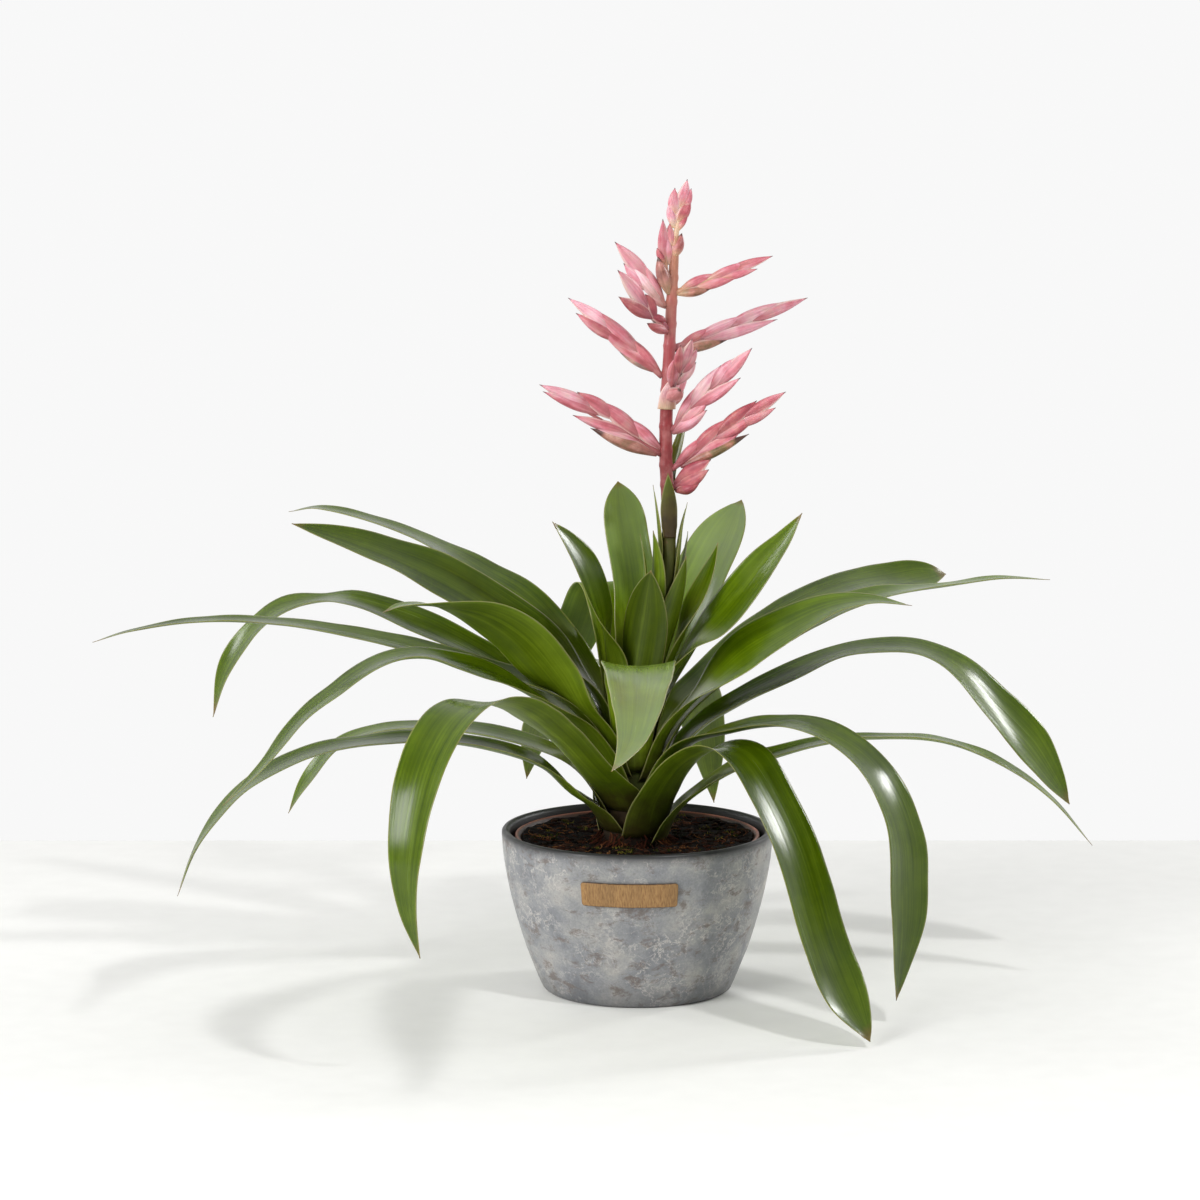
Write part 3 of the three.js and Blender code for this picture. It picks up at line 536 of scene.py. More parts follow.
def stem_skin(add):
    """Smooth stem skin: painted shade near black at the crown, green above it and rose higher up, with a
    pale waxy bloom and fine lengthwise fibres.
    """
    place = add("TexCoord", (), out="Object")
    height = add("SeparateXYZ", (place,), out="Z")
    long = add("Mapping", {"Vector": place, "Scale": (1, 1, 0.05)})
    fibres = add("TexNoise", {"Vector": long, "Scale": 1 / 0.9 / MM, "Detail": 3, "Roughness": 0.6})
    clouds = add("TexNoise", {"Vector": place, "Scale": 1 / 9 / MM, "Detail": 4, "Roughness": 0.6})
    shift = add("MapRange", (clouds, 0.3, 0.7, -12 * MM, 12 * MM))
    level = add("Math", (height, shift), operation="ADD")
    level = add("MapRange", (level, 90 * MM, 470 * MM, 0.0, 1.0))
    # The lowest stops, near black up to about 110 mm, are painted shade where the leaf bases close over the
    # crown.
    up_the_stem = [
        (0.0, "#1c1109"), (0.05, "#33240f"), (0.1, "#3a4212"), (0.35, "#47521a"), (0.5, "#48471c"),
        (0.57, "#80393a"), (0.7, "#8c383b"), (0.82, "#a55457"), (1.0, "#bb8d6c"),
    ]
    colour = add("ValToRGB", (level,), stops=up_the_stem)
    bloom = add("MapRange", (clouds, 0.45, 0.72, 0.0, 0.4))
    rose = add("MapRange", (level, 0.5, 0.6, 0.0, 1.0))
    bloom = add("Math", (bloom, rose), operation="MULTIPLY")
    shade = add("MapRange", (fibres, 0.3, 0.7, 0.86, 1.12))
    for cover, paint, blend in ((bloom, "#c08a86", "MIX"), (1.0, shade, "MULTIPLY")):
        colour = add("Mix", {0: cover, 6: colour, 7: paint}, out=2, data_type="RGBA", blend_type=blend)
    rough = add("MapRange", (level, 0.3, 0.55, 0.9, 0.34))
    bump = add("Bump", {"Height": fibres, "Strength": 0.4, "Distance": 0.12 * MM})
    return {"Base Color": colour, "Roughness": rough, "IOR": 1.4, "Normal": bump}


def stem_profile():
    """Radii and heights of the crown and stem: fine steps, with a low ring where each spike leaves."""
    rows = list(CROWN)
    z = STEM_FROM
    while z < STEM_TO:
        ring = sum(RING_RISE * math.exp(-(((z - at - 1) / RING_SPREAD) ** 2)) for at in STEM_RINGS)
        rows.append((stem_radius(z) + ring, z))
        z += FINE_STEP if z > FINE_FROM else COARSE_STEP
    return rows + STEM_END


points, faces = turned(stem_profile(), STEM_SIDES, lambda p: Vector((p.x + stem_x(p.z), p.y, p.z)))
flower_stem = mesh_piece("rose_stem", points, faces, new_material("waxy_stem_skin", stem_skin))
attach(flower_stem, "root")
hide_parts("flower_stem")


# The rosette: twenty-five strap leaves, smooth and leathery with a waxy skin, less than a millimetre thick.
# Their bases nest in each other round the crown like funnels; the blades arch out as shallow channels and end
# in a point.
LEAF_ROWS, LEAF_COLUMNS = 88, 16
FIRST_LEAF, LEAF_STEP = 92.5, 2.6
OPENING = (30, 110, 80)
NECK, BROADEST, TIP_HALF = 0.42, 0.5, 0.35
BLADE_THICK, MARGIN_THINNER = 0.85, 0.5
TWIST, TWIST_WAVE, UNEVEN, UNEVEN_WAVE, RIPPLE, RIPPLE_WAVE = 0.05, 55, 0.03, 22, 0.9, 26
CROWN_GAP, BASE_ANGLE, BASE_GAP = 0.3, 0.28, 0.4

# From the outermost in: name, heading in degrees from +X, blade width, where along it the point begins, and
# points along the midrib as (out, up), or with the blade's roll in degrees, or with roll and shift sideways.
LEAVES = [
    ("leaf_right_low", -5, 32, 0.4, [(40, 122, 10), (66, 139, 10), (88, 146, 5), (115, 154),
        (146, 158, -5), (188, 157, -5), (225, 144), (256, 123), (282, 94)]),
    ("leaf_back_left_low", 112, 36, 0.5, [(40, 129), (75, 147), (110, 154), (145, 143), (170, 120),
        (182, 98)]),
    ("leaf_front_right", -48, 41, 0.78, [(40, 139), (53, 150), (76, 160), (98, 158), (118, 140, -5),
        (142, 107, -5), (168, 52, -5), (187, 23), (206, 4)]),
    ("leaf_left_low", 193, 36, 0.55, [(40, 124, -5), (58, 141, -10), (83, 151, -5), (120, 159),
        (157, 160), (200, 154), (237, 137), (256, 119), (271, 98, 5), (282, 71, 5)]),
    ("leaf_back_right_low", 75, 36, 0.55, [(40, 141), (75, 158), (115, 169, -5), (155, 159, -5),
        (190, 122, -5), (216, 74)]),
    ("leaf_right_arch", -32, 38, 0.7, [(40, 155), (75, 168, 5), (96, 173), (118, 175), (145, 168),
        (166, 155), (181, 134), (189, 112, 5), (191, 88, 10), (191, 60, 15), (185, 15, 10)]),
    ("leaf_left_back_low", 160, 34, 0.55, [(40, 139), (61, 146), (87, 151), (114, 154), (148, 153),
        (175, 148, -5), (196, 139, -20), (210, 126, -35), (222, 111, -45), (232, 93, -45)]),
    ("leaf_right_long", 10, 38, 0.75, [(40, 159), (67, 176, 5), (99, 191, 5), (130, 204), (156, 207, 5),
        (181, 205, 10), (207, 191, 25), (233, 165, 40), (253, 144, 50), (269, 121, 50), (279, 105, 50)]),
    ("leaf_front_left", 242, 34, 0.55, [(40, 136), (63, 151), (93, 171, 5), (141, 196, 10), (185, 207, 5),
        (219, 205), (247, 188), (264, 164), (274, 132), (272, 102), (259, 72)]),
    ("leaf_back_low", 95, 38, 0.55, [(40, 151), (80, 175), (120, 184), (165, 170), (205, 132),
        (226, 86)]),
    ("leaf_left_front", 214, 34, 0.55, [(40, 166), (60, 180, -10), (96, 202, -20), (132, 215, -15),
        (153, 221, -5), (180, 219, 5), (208, 206, 10), (235, 190, 10), (259, 167, 10), (287, 146, 10)]),
    ("leaf_right_back", 42, 38, 0.75, [(40, 171.5), (60, 183), (100, 206), (144, 222, 5), (189, 231, 10),
        (235, 232, 20), (262, 233, 40), (278, 231, 50)]),
    ("leaf_left_droop", 170, 34, 0.6, [(40, 168), (60, 184, -15), (95, 205, -15), (133, 223, -15),
        (177, 237, -5), (197, 236), (222, 230, -20), (242, 214, -30), (258, 191, -45), (266, 161, -45)]),
    ("leaf_right_mid", 14, 34, 0.4, [(40, 175), (81, 206, 10), (120, 228, 10), (158, 239, 5),
        (198, 243, -5), (237, 247), (270, 245)]),
    ("leaf_left_long", 190, 34, 0.4, [(40, 177), (60, 190, -10), (95, 201, -15), (131, 214, -10),
        (174, 225, -5), (216, 233), (264, 236), (307, 231), (329, 225)]),
    ("leaf_right_high", -12, 38, 0.55, [(40, 182, 10), (67, 209, 38), (91, 225, 32), (122, 241, 20),
        (146, 246, 10), (172, 244)]),
    ("leaf_left_curled", 207, 38, 0.6, [(40, 180, 10), (56, 199, 35), (79, 224, 38), (103, 239, 30),
        (130, 247, 10), (156, 249), (167, 246)]),
    ("leaf_front_long", -90, 44, 0.4, [(40, 193), (60, 202), (85, 210, 0, 1), (110, 217, 0, 2),
        (160, 227.5, 0, 2), (190, 231, 0, 2), (224, 230.5, 0, 2), (263, 226, 0, 1), (290, 220),
        (318, 212.5, 0, -3), (345, 207, 0, -9), (362, 205, 0, -14)]),
    ("leaf_left_top_back", 150, 34, 0.5, [(40, 201, -5), (54, 215, -15), (80, 236, -20), (110, 251, -5),
        (139, 264, 5), (184, 277, 5), (229, 284, -5), (253, 280, -10)]),
    ("leaf_back_right_upright", 45, 46, 0.72, [(40, 212), (60, 247), (77, 271), (88, 285), (97, 295)]),
    ("leaf_left_top", 188, 38, 0.6, [(40, 203, -20), (58, 219, -38), (82, 236, -40), (112, 255, -38),
        (143, 270, -30), (179, 284, -30), (208, 293, -30)]),
    ("leaf_right_upright", -10, 34, 0.55, [(40, 217, 15), (53, 230, 35), (66, 246, 42), (80, 265, 42),
        (93, 281, 42), (104, 298, 42)]),
    ("leaf_back_left_arch", 112, 34, 0.75, [(17.3, 175), (23, 196), (28, 217), (36, 236), (48, 246),
        (61, 240), (74, 219, 0, 3), (82, 200, 0, 7), (88, 178, 0, 11)]),
    ("leaf_left_upright", 203, 35, 0.5, [(13, 178), (16, 206, -5), (22.5, 238, -40), (31, 263, -50),
        (42, 280, -50), (53, 293, -50)]),
    ("leaf_back_upright", 95, 27, 0.8, [(12, 185), (18, 210, 0, -2.5), (28, 245, 0, -4),
        (39, 280, 0, 0.5), (46, 298, 0, 3), (50, 309, 0, 4.6)]),
]

# How pale a leaf is, from -0.5, deep green, to 2, grey. The listed values paint light and shade: the grey
# of the palest is a painted sheen and the deep green of the darkest a painted shade. The others lie between
# 0 and 1 by chance.
PALENESS_AND_PAINTED_LIGHT = {
    "leaf_back_right_upright": 2.0, "leaf_front_long": 1.8, "leaf_back_left_arch": 1.8,
    "leaf_back_upright": 1.7, "leaf_right_mid": 1.3, "leaf_left_curled": 1.2, "leaf_right_upright": 0.9,
    "leaf_right_long": 0.5, "leaf_front_left": 0.3, "leaf_left_droop": 0.3, "leaf_left_front": 0.2,
    "leaf_left_upright": 0.1, "leaf_right_arch": 0.1, "leaf_front_right": 0.1,
    "leaf_left_top": -0.4, "leaf_front_upright": -0.4,
}


def smooth_step(x, low, high):
    """0 below low, 1 above high, and a smooth rise between them."""
    t = clamp((x - low) / (high - low))
    return t * t * (3 - 2 * t)


def blade_half(f, base, width, taper):
    """Half the width along a blade: a wide base, a slight neck, the full blade, then a long point."""
    neck, full = NECK * width, BROADEST * width
    body = base + (neck - base) * smooth_step(f, 0.02, 0.2) + (full - neck) * smooth_step(f, 0.2, 0.5)
    u = max(0.0, (f - taper) / (1 - taper))
    return max(TIP_HALF, body * (1 - u ** (3 if taper > 0.7 else 2.2)))


def strap(axis, heading, rows, half, cup_of, seed, long=LEAF_ROWS, opening=OPENING):
    """A strap leaf along a midrib, whose rows are measured from the axis: wrapped round the stem at its base,
    an open channel further out. opening says how far along it begins to open and roll, where it is open and
    where it is rolled. Gives its two grids of points and the values that its skin is painted by."""
    turn = math.radians(heading)
    outward = Vector((math.cos(turn), math.sin(turn), 0))
    sideways = Vector((-math.sin(turn), math.cos(turn), 0))
    total, read = smooth_curve([(*row, *[0] * (4 - len(row))) for row in rows])

    def place(s):
        out, up, roll, side = read(s)
        return Vector((axis(up), 0, up)) + out * outward + side * sideways, out, math.radians(roll)

    def ahead_at(s, reach=1.0):
        return (place(s + reach)[0] - place(s - reach)[0]).normalized()

    grids = ([], [])
    values = {"along": [], "rib": [], "run": [], "margin": []}
    for i in range(long + 1):
        f = 1 - (1 - i / long) ** 1.2
        s = f * total
        middle, out, roll = place(s)
        ahead = ahead_at(s)
        bend = (ahead_at(s + 5) - ahead_at(s - 5)).length / 10
        flat = (sideways - sideways.dot(ahead) * ahead).normalized()
        face = ahead.cross(flat)
        opened = smooth_step(s, opening[0], opening[1])
        rolled = roll * smooth_step(s, opening[0], opening[2])
        rolled += TWIST * opened * noise.noise(Vector((s / TWIST_WAVE, seed * 7.3, 1)))
        side = math.cos(rolled) * flat + math.sin(rolled) * face
        above = math.cos(rolled) * face - math.sin(rolled) * flat
        inward = (opened * above - (1 - opened) * outward).normalized()
        w = half(f) * (1 + UNEVEN * noise.noise(Vector((s / UNEVEN_WAVE, seed * 3.1, 2))))
        cup = cup_of(f) / (1 + (14 * bend) ** 2)
        wrap = min(max(w / max(out, 1), cup, 0.02), 1.5)
        arc = wrap + (cup - wrap) * opened
        radius = w / arc
        for j in range(LEAF_COLUMNS + 1):
            v = 2 * j / LEAF_COLUMNS - 1
            v = math.sin(math.pi / 2 * v) * 0.35 + 0.65 * v
            a = arc * v
            up = math.cos(a) * inward - math.sin(a) * side
            point = middle + radius * math.sin(a) * side + radius * (1 - math.cos(a)) * inward
            ripple = noise.noise(Vector((s / RIPPLE_WAVE, seed * 5.7 + (4 if v > 0 else 0), 3)))
            point += up * (RIPPLE * opened * v * v * min(1.0, w / 10) * ripple)
            thick = (BLADE_THICK - MARGIN_THINNER * abs(v) ** 3) * min(1.0, 0.35 + w / 8)
            grids[0].append(point - up * thick / 2)
            grids[1].append(point + up * thick / 2)
            for title, number in zip(values, (f, v * half(0.5) * MM, s * MM, (1 - abs(v)) * w * MM)):
                values[title].append(number)
    count = len(grids[0])
    values = {title: numbers * 2 for title, numbers in values.items()}
    values["upper"] = [0.0] * count + [1.0] * count
    return grids[0] + grids[1], values


def leaf_skin(add):
    """Leaf skin: a glossy, waxy olive green above and a matt paler green below, with straight parallel veins
    1.4 mm apart, a thin pale margin, and brown where a leaf is old: at its foot and at its point. Each leaf
    is made lighter or darker by its tone, which for the listed leaves is painted light and shade, and the
    palest get a grey painted sheen on their outer part. The upper face turns yellow-green near the foot: the
    pale leaf base, partly painted light shining through the leaf."""
    along, rib, run, margin, upper, tone, blush = (
        add("Attribute", (), attribute_name=name, out="Fac")
        for name in ("along", "rib", "run", "margin", "upper", "tone", "blush")
    )
    place = add("TexCoord", (), out="Object")
    skin = add("CombineXYZ", (rib, run, tone))
    veins, bands = (
        add("TexNoise", {"Vector": add("Mapping", {"Vector": skin, "Scale": scale}),
            "Scale": 1.0, "Detail": detail, "Roughness": 0.6})
        for scale, detail in (((1 / 1.4 / MM, 1 / 90 / MM, 31), 2), ((1 / 6 / MM, 1 / 140 / MM, 31), 3))
    )
    clouds = add("TexNoise", {"Vector": place, "Scale": 1 / 30 / MM, "Detail": 4, "Roughness": 0.6})
    mixed = add("Math", (veins, bands), operation="ADD")
    mixed = add("Math", (mixed, clouds), operation="ADD")
    mixed = add("MapRange", (mixed, 1.15, 1.85, 0.0, 1.0))
    top = add("ValToRGB", (mixed,), stops=[(0.0, "#3a4e00"), (0.5, "#4a5f00"), (1.0, "#5c7208")])
    below = add("ValToRGB", (mixed,), stops=[(0.0, "#455704"), (0.5, "#576a08"), (1.0, "#6b7f16")])
    # Each leaf lighter or darker by its tone: painted light and shade for the listed leaves, chance for the
    # rest.
    tone_and_painted_light = add("MapRange", (tone, -0.5, 2.0, 0.62, 1.6))
    # A grey painted sheen over the outer part of the palest leaves.
    painted_sheen = add("MapRange", (tone, 1.0, 2.0, 0.0, 0.5))
    upwards = add("MapRange", (along, 0.5, 0.8, 0.0, 1.0))
    painted_sheen = add("Math", (painted_sheen, upwards), operation="MULTIPLY")
    foot = add("MapRange", (clouds, 0.3, 0.7, -14 * MM, 14 * MM))
    foot = add("Math", (run, foot), operation="ADD")
    # Yellow-green near the foot of the upper face: the pale base, partly painted light shining through.
    pale = add("MapRange", (foot, 30 * MM, 90 * MM, 0.6, 0.0))
    pale = add("Math", (pale, upper), operation="MULTIPLY")
    brown = add("MapRange", (foot, 6 * MM, 34 * MM, 0.85, 0.0))
    rim = add("MapRange", (margin, 0.2 * MM, 0.9 * MM, 0.7, 0.0))
    dry = add("MapRange", (clouds, 0.3, 0.7, -0.015, 0.015))
    dry = add("Math", (along, dry), operation="ADD")
    dry = add("MapRange", (dry, 0.965, 0.995, 0.0, 0.85))
    colour = below
    for cover, paint, blend in (
        (upper, top, "MIX"), (1.0, tone_and_painted_light, "MULTIPLY"), (painted_sheen, "#8c9a70", "MIX"), (blush, "#763b34", "MIX"),
        (pale, "#8b9136", "MIX"), (brown, "#2f2310", "MIX"), (rim, "#8f8a5a", "MIX"), (dry, "#6e5330", "MIX"),
    ):
        colour = add("Mix", {0: cover, 6: colour, 7: paint}, out=2, data_type="RGBA", blend_type=blend)
    gloss = add("MapRange", (bands, 0.3, 0.7, 0.18, 0.28))
    matt = add("MapRange", (upper, 0.0, 1.0, 0.2, 0.0))
    rough = add("Math", (gloss, matt), operation="ADD")
    depth = add("MapRange", (along, 0.75, 0.95, 0.5, 0.05))
    bump = add("Bump", {"Height": veins, "Strength": depth, "Distance": 0.14 * MM})
    bump = add("Bump", {"Height": bands, "Strength": depth, "Distance": 0.5 * MM, "Normal": bump})
    through = {"Subsurface Weight": 0.25, "Subsurface Radius": (0.8, 1.0, 0.15), "Subsurface Scale": 2 * MM}
    return {"Base Color": colour, "Roughness": rough, "IOR": 1.4, "Normal": bump} | through


waxy_leaf = new_material("waxy_leaf_skin", leaf_skin)


def strap_leaf(name, seed, blush, axis, heading, rows, half, cup_of, long=LEAF_ROWS):
    """One leaf or stem bract as a piece on the root body, in place of the solid of that name, which is
    hidden.
    """
    points, values = strap(axis, heading, rows, half, cup_of, seed, long)
    values["tone"] = [PALENESS_AND_PAINTED_LIGHT.get(name, random.Random(seed).random())] * len(points)
    values["blush"] = [blush * (1 - f) for f in values["along"]]
    piece = mesh_piece("strap_" + name, points, grid_slab(long, LEAF_COLUMNS), waxy_leaf, values)
    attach(piece, "root")
    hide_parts(name)


def rosette_leaf(k, name, heading, width, taper, path):
    """One big leaf. Each leaf further in starts a little higher on the crown."""
    low = FIRST_LEAF + LEAF_STEP * k
    start = (stem_radius(low) + CROWN_GAP) / math.cos(BASE_ANGLE) + BASE_GAP
    out, up = path[0][:2]
    # How far out and up the foot bends, as parts of the way to the midrib's first point.
    reach, climb = (0.38, 0.58) if out >= 40 else (0.3, 0.4)
    foot = [(start, low), (start + reach * (out - start), low + climb * (up - low))]
    base = min(1.1 * start, 0.6 * width)
    strap_leaf(
        name, k, 0.0, lambda z: PLANT_X, heading, foot + path,
        lambda f: blade_half(f, base, width, taper),
        lambda f: 0.7 - 0.4 * smooth_step(f, 0.1, 0.5),
    )


for k, row in enumerate(LEAVES):
    rosette_leaf(k, *row)


# The small leaves at the stem and the bracts up it: the same strap, smaller and thinner, each wrapping the
# leaning stem. The bracts higher up turn brown and red where they clasp it.
INNER_LEAF_ROWS = 56
FIRST_INNER_SEED = 40

# Name, heading, height of the base, blade width, where the point begins, redness, and the midrib.
INNER_LEAVES = [
    ("leaf_front_upright", -118, 158, 33, 0.6, 0, [(12.2, 178, 0, -2.8), (15.5, 202, 0, -2.5),
        (20.5, 232, 0, -1.5), (25, 252, 0, 0.5), (28, 264, 0, 2.5)]),
    ("inner_leaf_right", -8, 168, 22, 0.4, 0, [(9.2, 186), (14, 208, 10), (20, 238, 40), (26, 262, 50),
        (30, 278, 50)]),
    ("inner_leaf_left", 208, 167, 17, 0.4, 0, [(9.2, 190), (11.5, 215, -10), (15, 250, -30),
        (20, 284, -30)]),
    ("inner_leaf_back", 98, 170, 16, 0.4, 0, [(7.8, 200), (9.5, 225), (12, 255), (15, 274)]),
    ("inner_leaf_front_right", -56, 175, 19, 0.4, 0, [(7.2, 192), (9.2, 215), (13, 245), (18, 271)]),
    ("inner_leaf_side", 15, 190, 12, 0.4, 0, [(6.6, 207), (7.5, 230), (9.5, 262), (12, 284)]),
    ("inner_leaf_front", -138, 196, 16, 0.4, 0, [(6.4, 212), (7.2, 230), (9.5, 262), (13, 286)]),
    ("stem_bract_right", 5, 240, 11, 0.4, 0.3, [(6, 262), (8, 285), (12, 302)]),
    ("stem_bract_left", 180, 246, 11, 0.4, 0.3, [(6, 270), (7, 295), (8.5, 313)]),
    ("stem_bract_front", -84, 281, 13, 0.1, 0.6, [(6.4, 292), (7.2, 305), (8.5, 321)]),
    ("stem_bract_back", 50, 312, 9, 0.4, 0.2, [(6, 320), (10, 330), (15, 342), (19, 352)]),
]


def stem_leaf(k, name, heading, low, width, taper, blush, path):
    """One small leaf or bract, its midrib measured from the stem's own middle."""
    start = stem_radius(low) + 1.0
    base = min(0.85 * start, 0.5 * width)
    strap_leaf(
        name, FIRST_INNER_SEED + k, blush, stem_x, heading, [(start, low), *path],
        lambda f: blade_half(f, base, width, taper),
        lambda f: 1 - 0.6 * f,
        INNER_LEAF_ROWS,
    )


for k, row in enumerate(INNER_LEAVES):
    stem_leaf(k, *row)


# The flower spikes: from each stem ring a thin stalk stands out with stiff boat-shaped bracts in two ranks,
# folded along a keel and lying close on each other, only their points standing out. A green or rose bract
# that clasps the stem carries the spike. No flower is open.
BRACT_ROWS, BRACT_COLUMNS, BRACT_THICK = 24, 14, 0.5
KEEL_OUT, FOLD_BACK, FOLD_ANGLE = 0.52, 0.97, 0.92 * math.pi
CLASP_DEPTH, FIRST_DEPTH, DEPTH_DROP = 0.95, 0.78, 0.42
STALK_SIDES, STALK_STEPS, STALK_RADIUS, STALK_THINNER, STALK_SUNK = 14, 12, 1.9, 0.09, 2
FIRST_SPIKE_SEED = 70

# How wide a bract is along its length, as parts of its full width.
BRACT_FORM = [
    (0, 0.28), (0.12, 0.56), (0.28, 0.88), (0.42, 1.0), (0.58, 0.92), (0.72, 0.7), (0.85, 0.4), (0.94, 0.15),
    (1, 0.02),
]

# Name, height of the base, distance from the stem's middle, heading, climb, turn about its own axis,
# paleness, creaminess of the feet, the clasping bract as (along, across) of the root, (along, across) of the
# point, width and green, and the flower bracts the same way with the side of the keel last. Across runs out
# and down from the spike's axis.
SPIKES = [
    ("spike_top", 465.2, 0, 10, 79, 0, 0.5, 1.0, (-15, 0.5, 1.5, 3.5, 8, 0.35), [(-9, -1, 6, -5, 6, -1),
        (1.5, 0, 15, 4.5, 4.5, 1), (3.5, -2, 18.5, -7.5, 6, -1), (5, -0.5, 24, 4, 8, 1),
        (10, -3, 27.5, -6, 7.5, -1), (14, 1.5, 29, 4, 5.5, 1), (13.5, -1, 34, 0.5, 7.5, 1)]),
    ("spike_top_front", 438, 5, 215, 86, 0, 0.45, 0.8, (-9, -1.5, 15.5, 5, 8.5, 0.6), [
        (9.5, 0.5, 20, 5.5, 4, 1), (9, -2.5, 27.5, -2, 6, -1), (7, 0, 37, 0, 9, 1)]),
    ("spike_upper_left", 423.5, 4.9, 188, 51, 0, 0.75, 0.6, (-3, 0.5, 12, 3, 5, 0.3), [
        (-1, 0.5, 32, 0, 7, 1), (1, -1, 28, -5, 6, -1), (10, 0.5, 34.5, 3.5, 9, 1),
        (13, -1.5, 48, -0.5, 9.5, -1)]),
    ("spike_upper_right", 431, 4.15, -8, 21, 0, 0.45, 0.85, (-2, 1, 20, 5, 6.5, 0.75), [
        (1, -0.5, 24, -2.5, 6, -1), (6, 1, 38.5, 4, 6.5, 1), (16, 0, 48.5, -1.5, 6, -1),
        (23, 0.5, 49.5, 4, 5.5, 1), (28, -0.5, 61, 0, 6, -1)]),
    ("spike_left_front", 410, 4.8, 228, 38, 0, 0.35, 0.1, (-5, 1, 15, 8, 6.5, 0.2), [
        (2, -1.5, 16, 3, 6, -1), (10, 2, 27, -5, 9, -1), (12, 2, 46, 10, 9, 1),
        (18, 1, 56.5, -2, 10.5, -1)]),
    ("spike_right_back", 397, 4.4, 28, 15, 0, 0.65, 0.45, (-1, 2, 36.5, 6.5, 7, 0.9), [
        (3, 0, 27.5, -3.5, 5.5, -1), (10, 0, 52, -4, 7, -1), (14, 1, 72.5, 5, 8, 1),
        (34, -1, 79.5, -4, 7.5, -1), (48, -1, 96.5, -1.5, 7.5, 1)]),
    ("spike_left", 380.5, 5.1, 182, 40, 0, 0.6, 0.5, (4, 1, 29.5, 4.8, 5, 0.75), [
        (0.5, -1, 30, -5.5, 6, -1), (-1, -1, 41.5, 3.5, 7, 1), (14, -2, 57, -4.5, 8.5, -1),
        (14, -0.5, 49.5, 1, 8, 1), (30, -0.5, 63, 4, 8, 1), (34, -3, 72.5, 0, 8, -1)]),
    ("spike_front", 370, 5.3, -70, 42, 90, 0.62, 0.3, (-4, 1.5, 15, 8.5, 10, 0.3), [
        (6, -0.5, 35, -7, 8, -1), (8, 2, 30, 8, 7, 1), (17, 0, 48, -7, 7, -1), (18, 3, 44, 4.5, 6.5, 1),
        (20, 0, 54, -1.5, 8, 1)]),
    ("spike_back", 362, 5.5, 62, 50, 0, 0.4, 0.5, (-1, 1.5, 19, 5, 7, 0.5), [(0, -1, 24, -4.5, 7, -1),
        (3, 1, 30, 4.5, 8, 1), (11, -0.5, 38, -3, 8, -1), (15, 0, 43.5, 0.5, 8, 1)]),
    ("spike_right", 348, 5.5, -25, 44, 0, 0.8, 0.3, (-3, 1.5, 24, 6.5, 8, 0), [(0, 1.5, 29.5, 3, 8, 1),
        (2, -1, 32.5, -8, 6.5, -1), (13, -2.5, 49.5, -7, 8, -1), (15, -1.5, 54, 7, 8, 1),
        (34, -1.5, 60, -4, 8, -1), (36, -1, 72, -1, 8.5, 1)]),
    ("spike_low_left", 333, 5.15, 200, 30, 0, 0.5, 0.4, (0, 1.5, 46, 7.5, 8.5, 0.8), [
        (-1, -2.5, 30, -8.5, 8, -1), (10, 0, 46.5, 5.5, 6.5, 1), (12, -3, 51.5, -9, 10, -1),
        (20, -2, 60, 6, 7, 1), (34, -5, 64.5, -7.5, 9, -1), (44, -3, 84, 2.5, 6.5, 1),
        (48, -4.5, 88, 0, 8, -1)]),
    ("spike_low_right", 324, 5.2, -6, 35, 0, 0.35, 0.15, (3, 2, 49, 9, 7, 0.95), [
        (0, 0, 27.5, -5, 6.5, -1), (12, -1, 44, -6, 8, -1), (12, 1, 46, 5, 8, 1),
        (30, -1.5, 64.5, -5, 8, -1), (27, 0.5, 61.5, 2, 8, 1), (44, 0.5, 71.5, 5, 6.5, 1),
        (50, -1, 82, 0.5, 7, -1)]),
    ("spike_bud", 312, 5.25, -26, 33, 0, -0.05, 0.1, (-1, 2.5, 13, 7, 7, 0.3), [(0, 3, 15, 6.5, 7, 1),
        (0.5, 1, 25.5, 2.5, 9, 1), (1, -1.5, 30, -2, 10, -1)]),
]

bract_form = smooth_curve(BRACT_FORM, [row[0] for row in BRACT_FORM])[1]


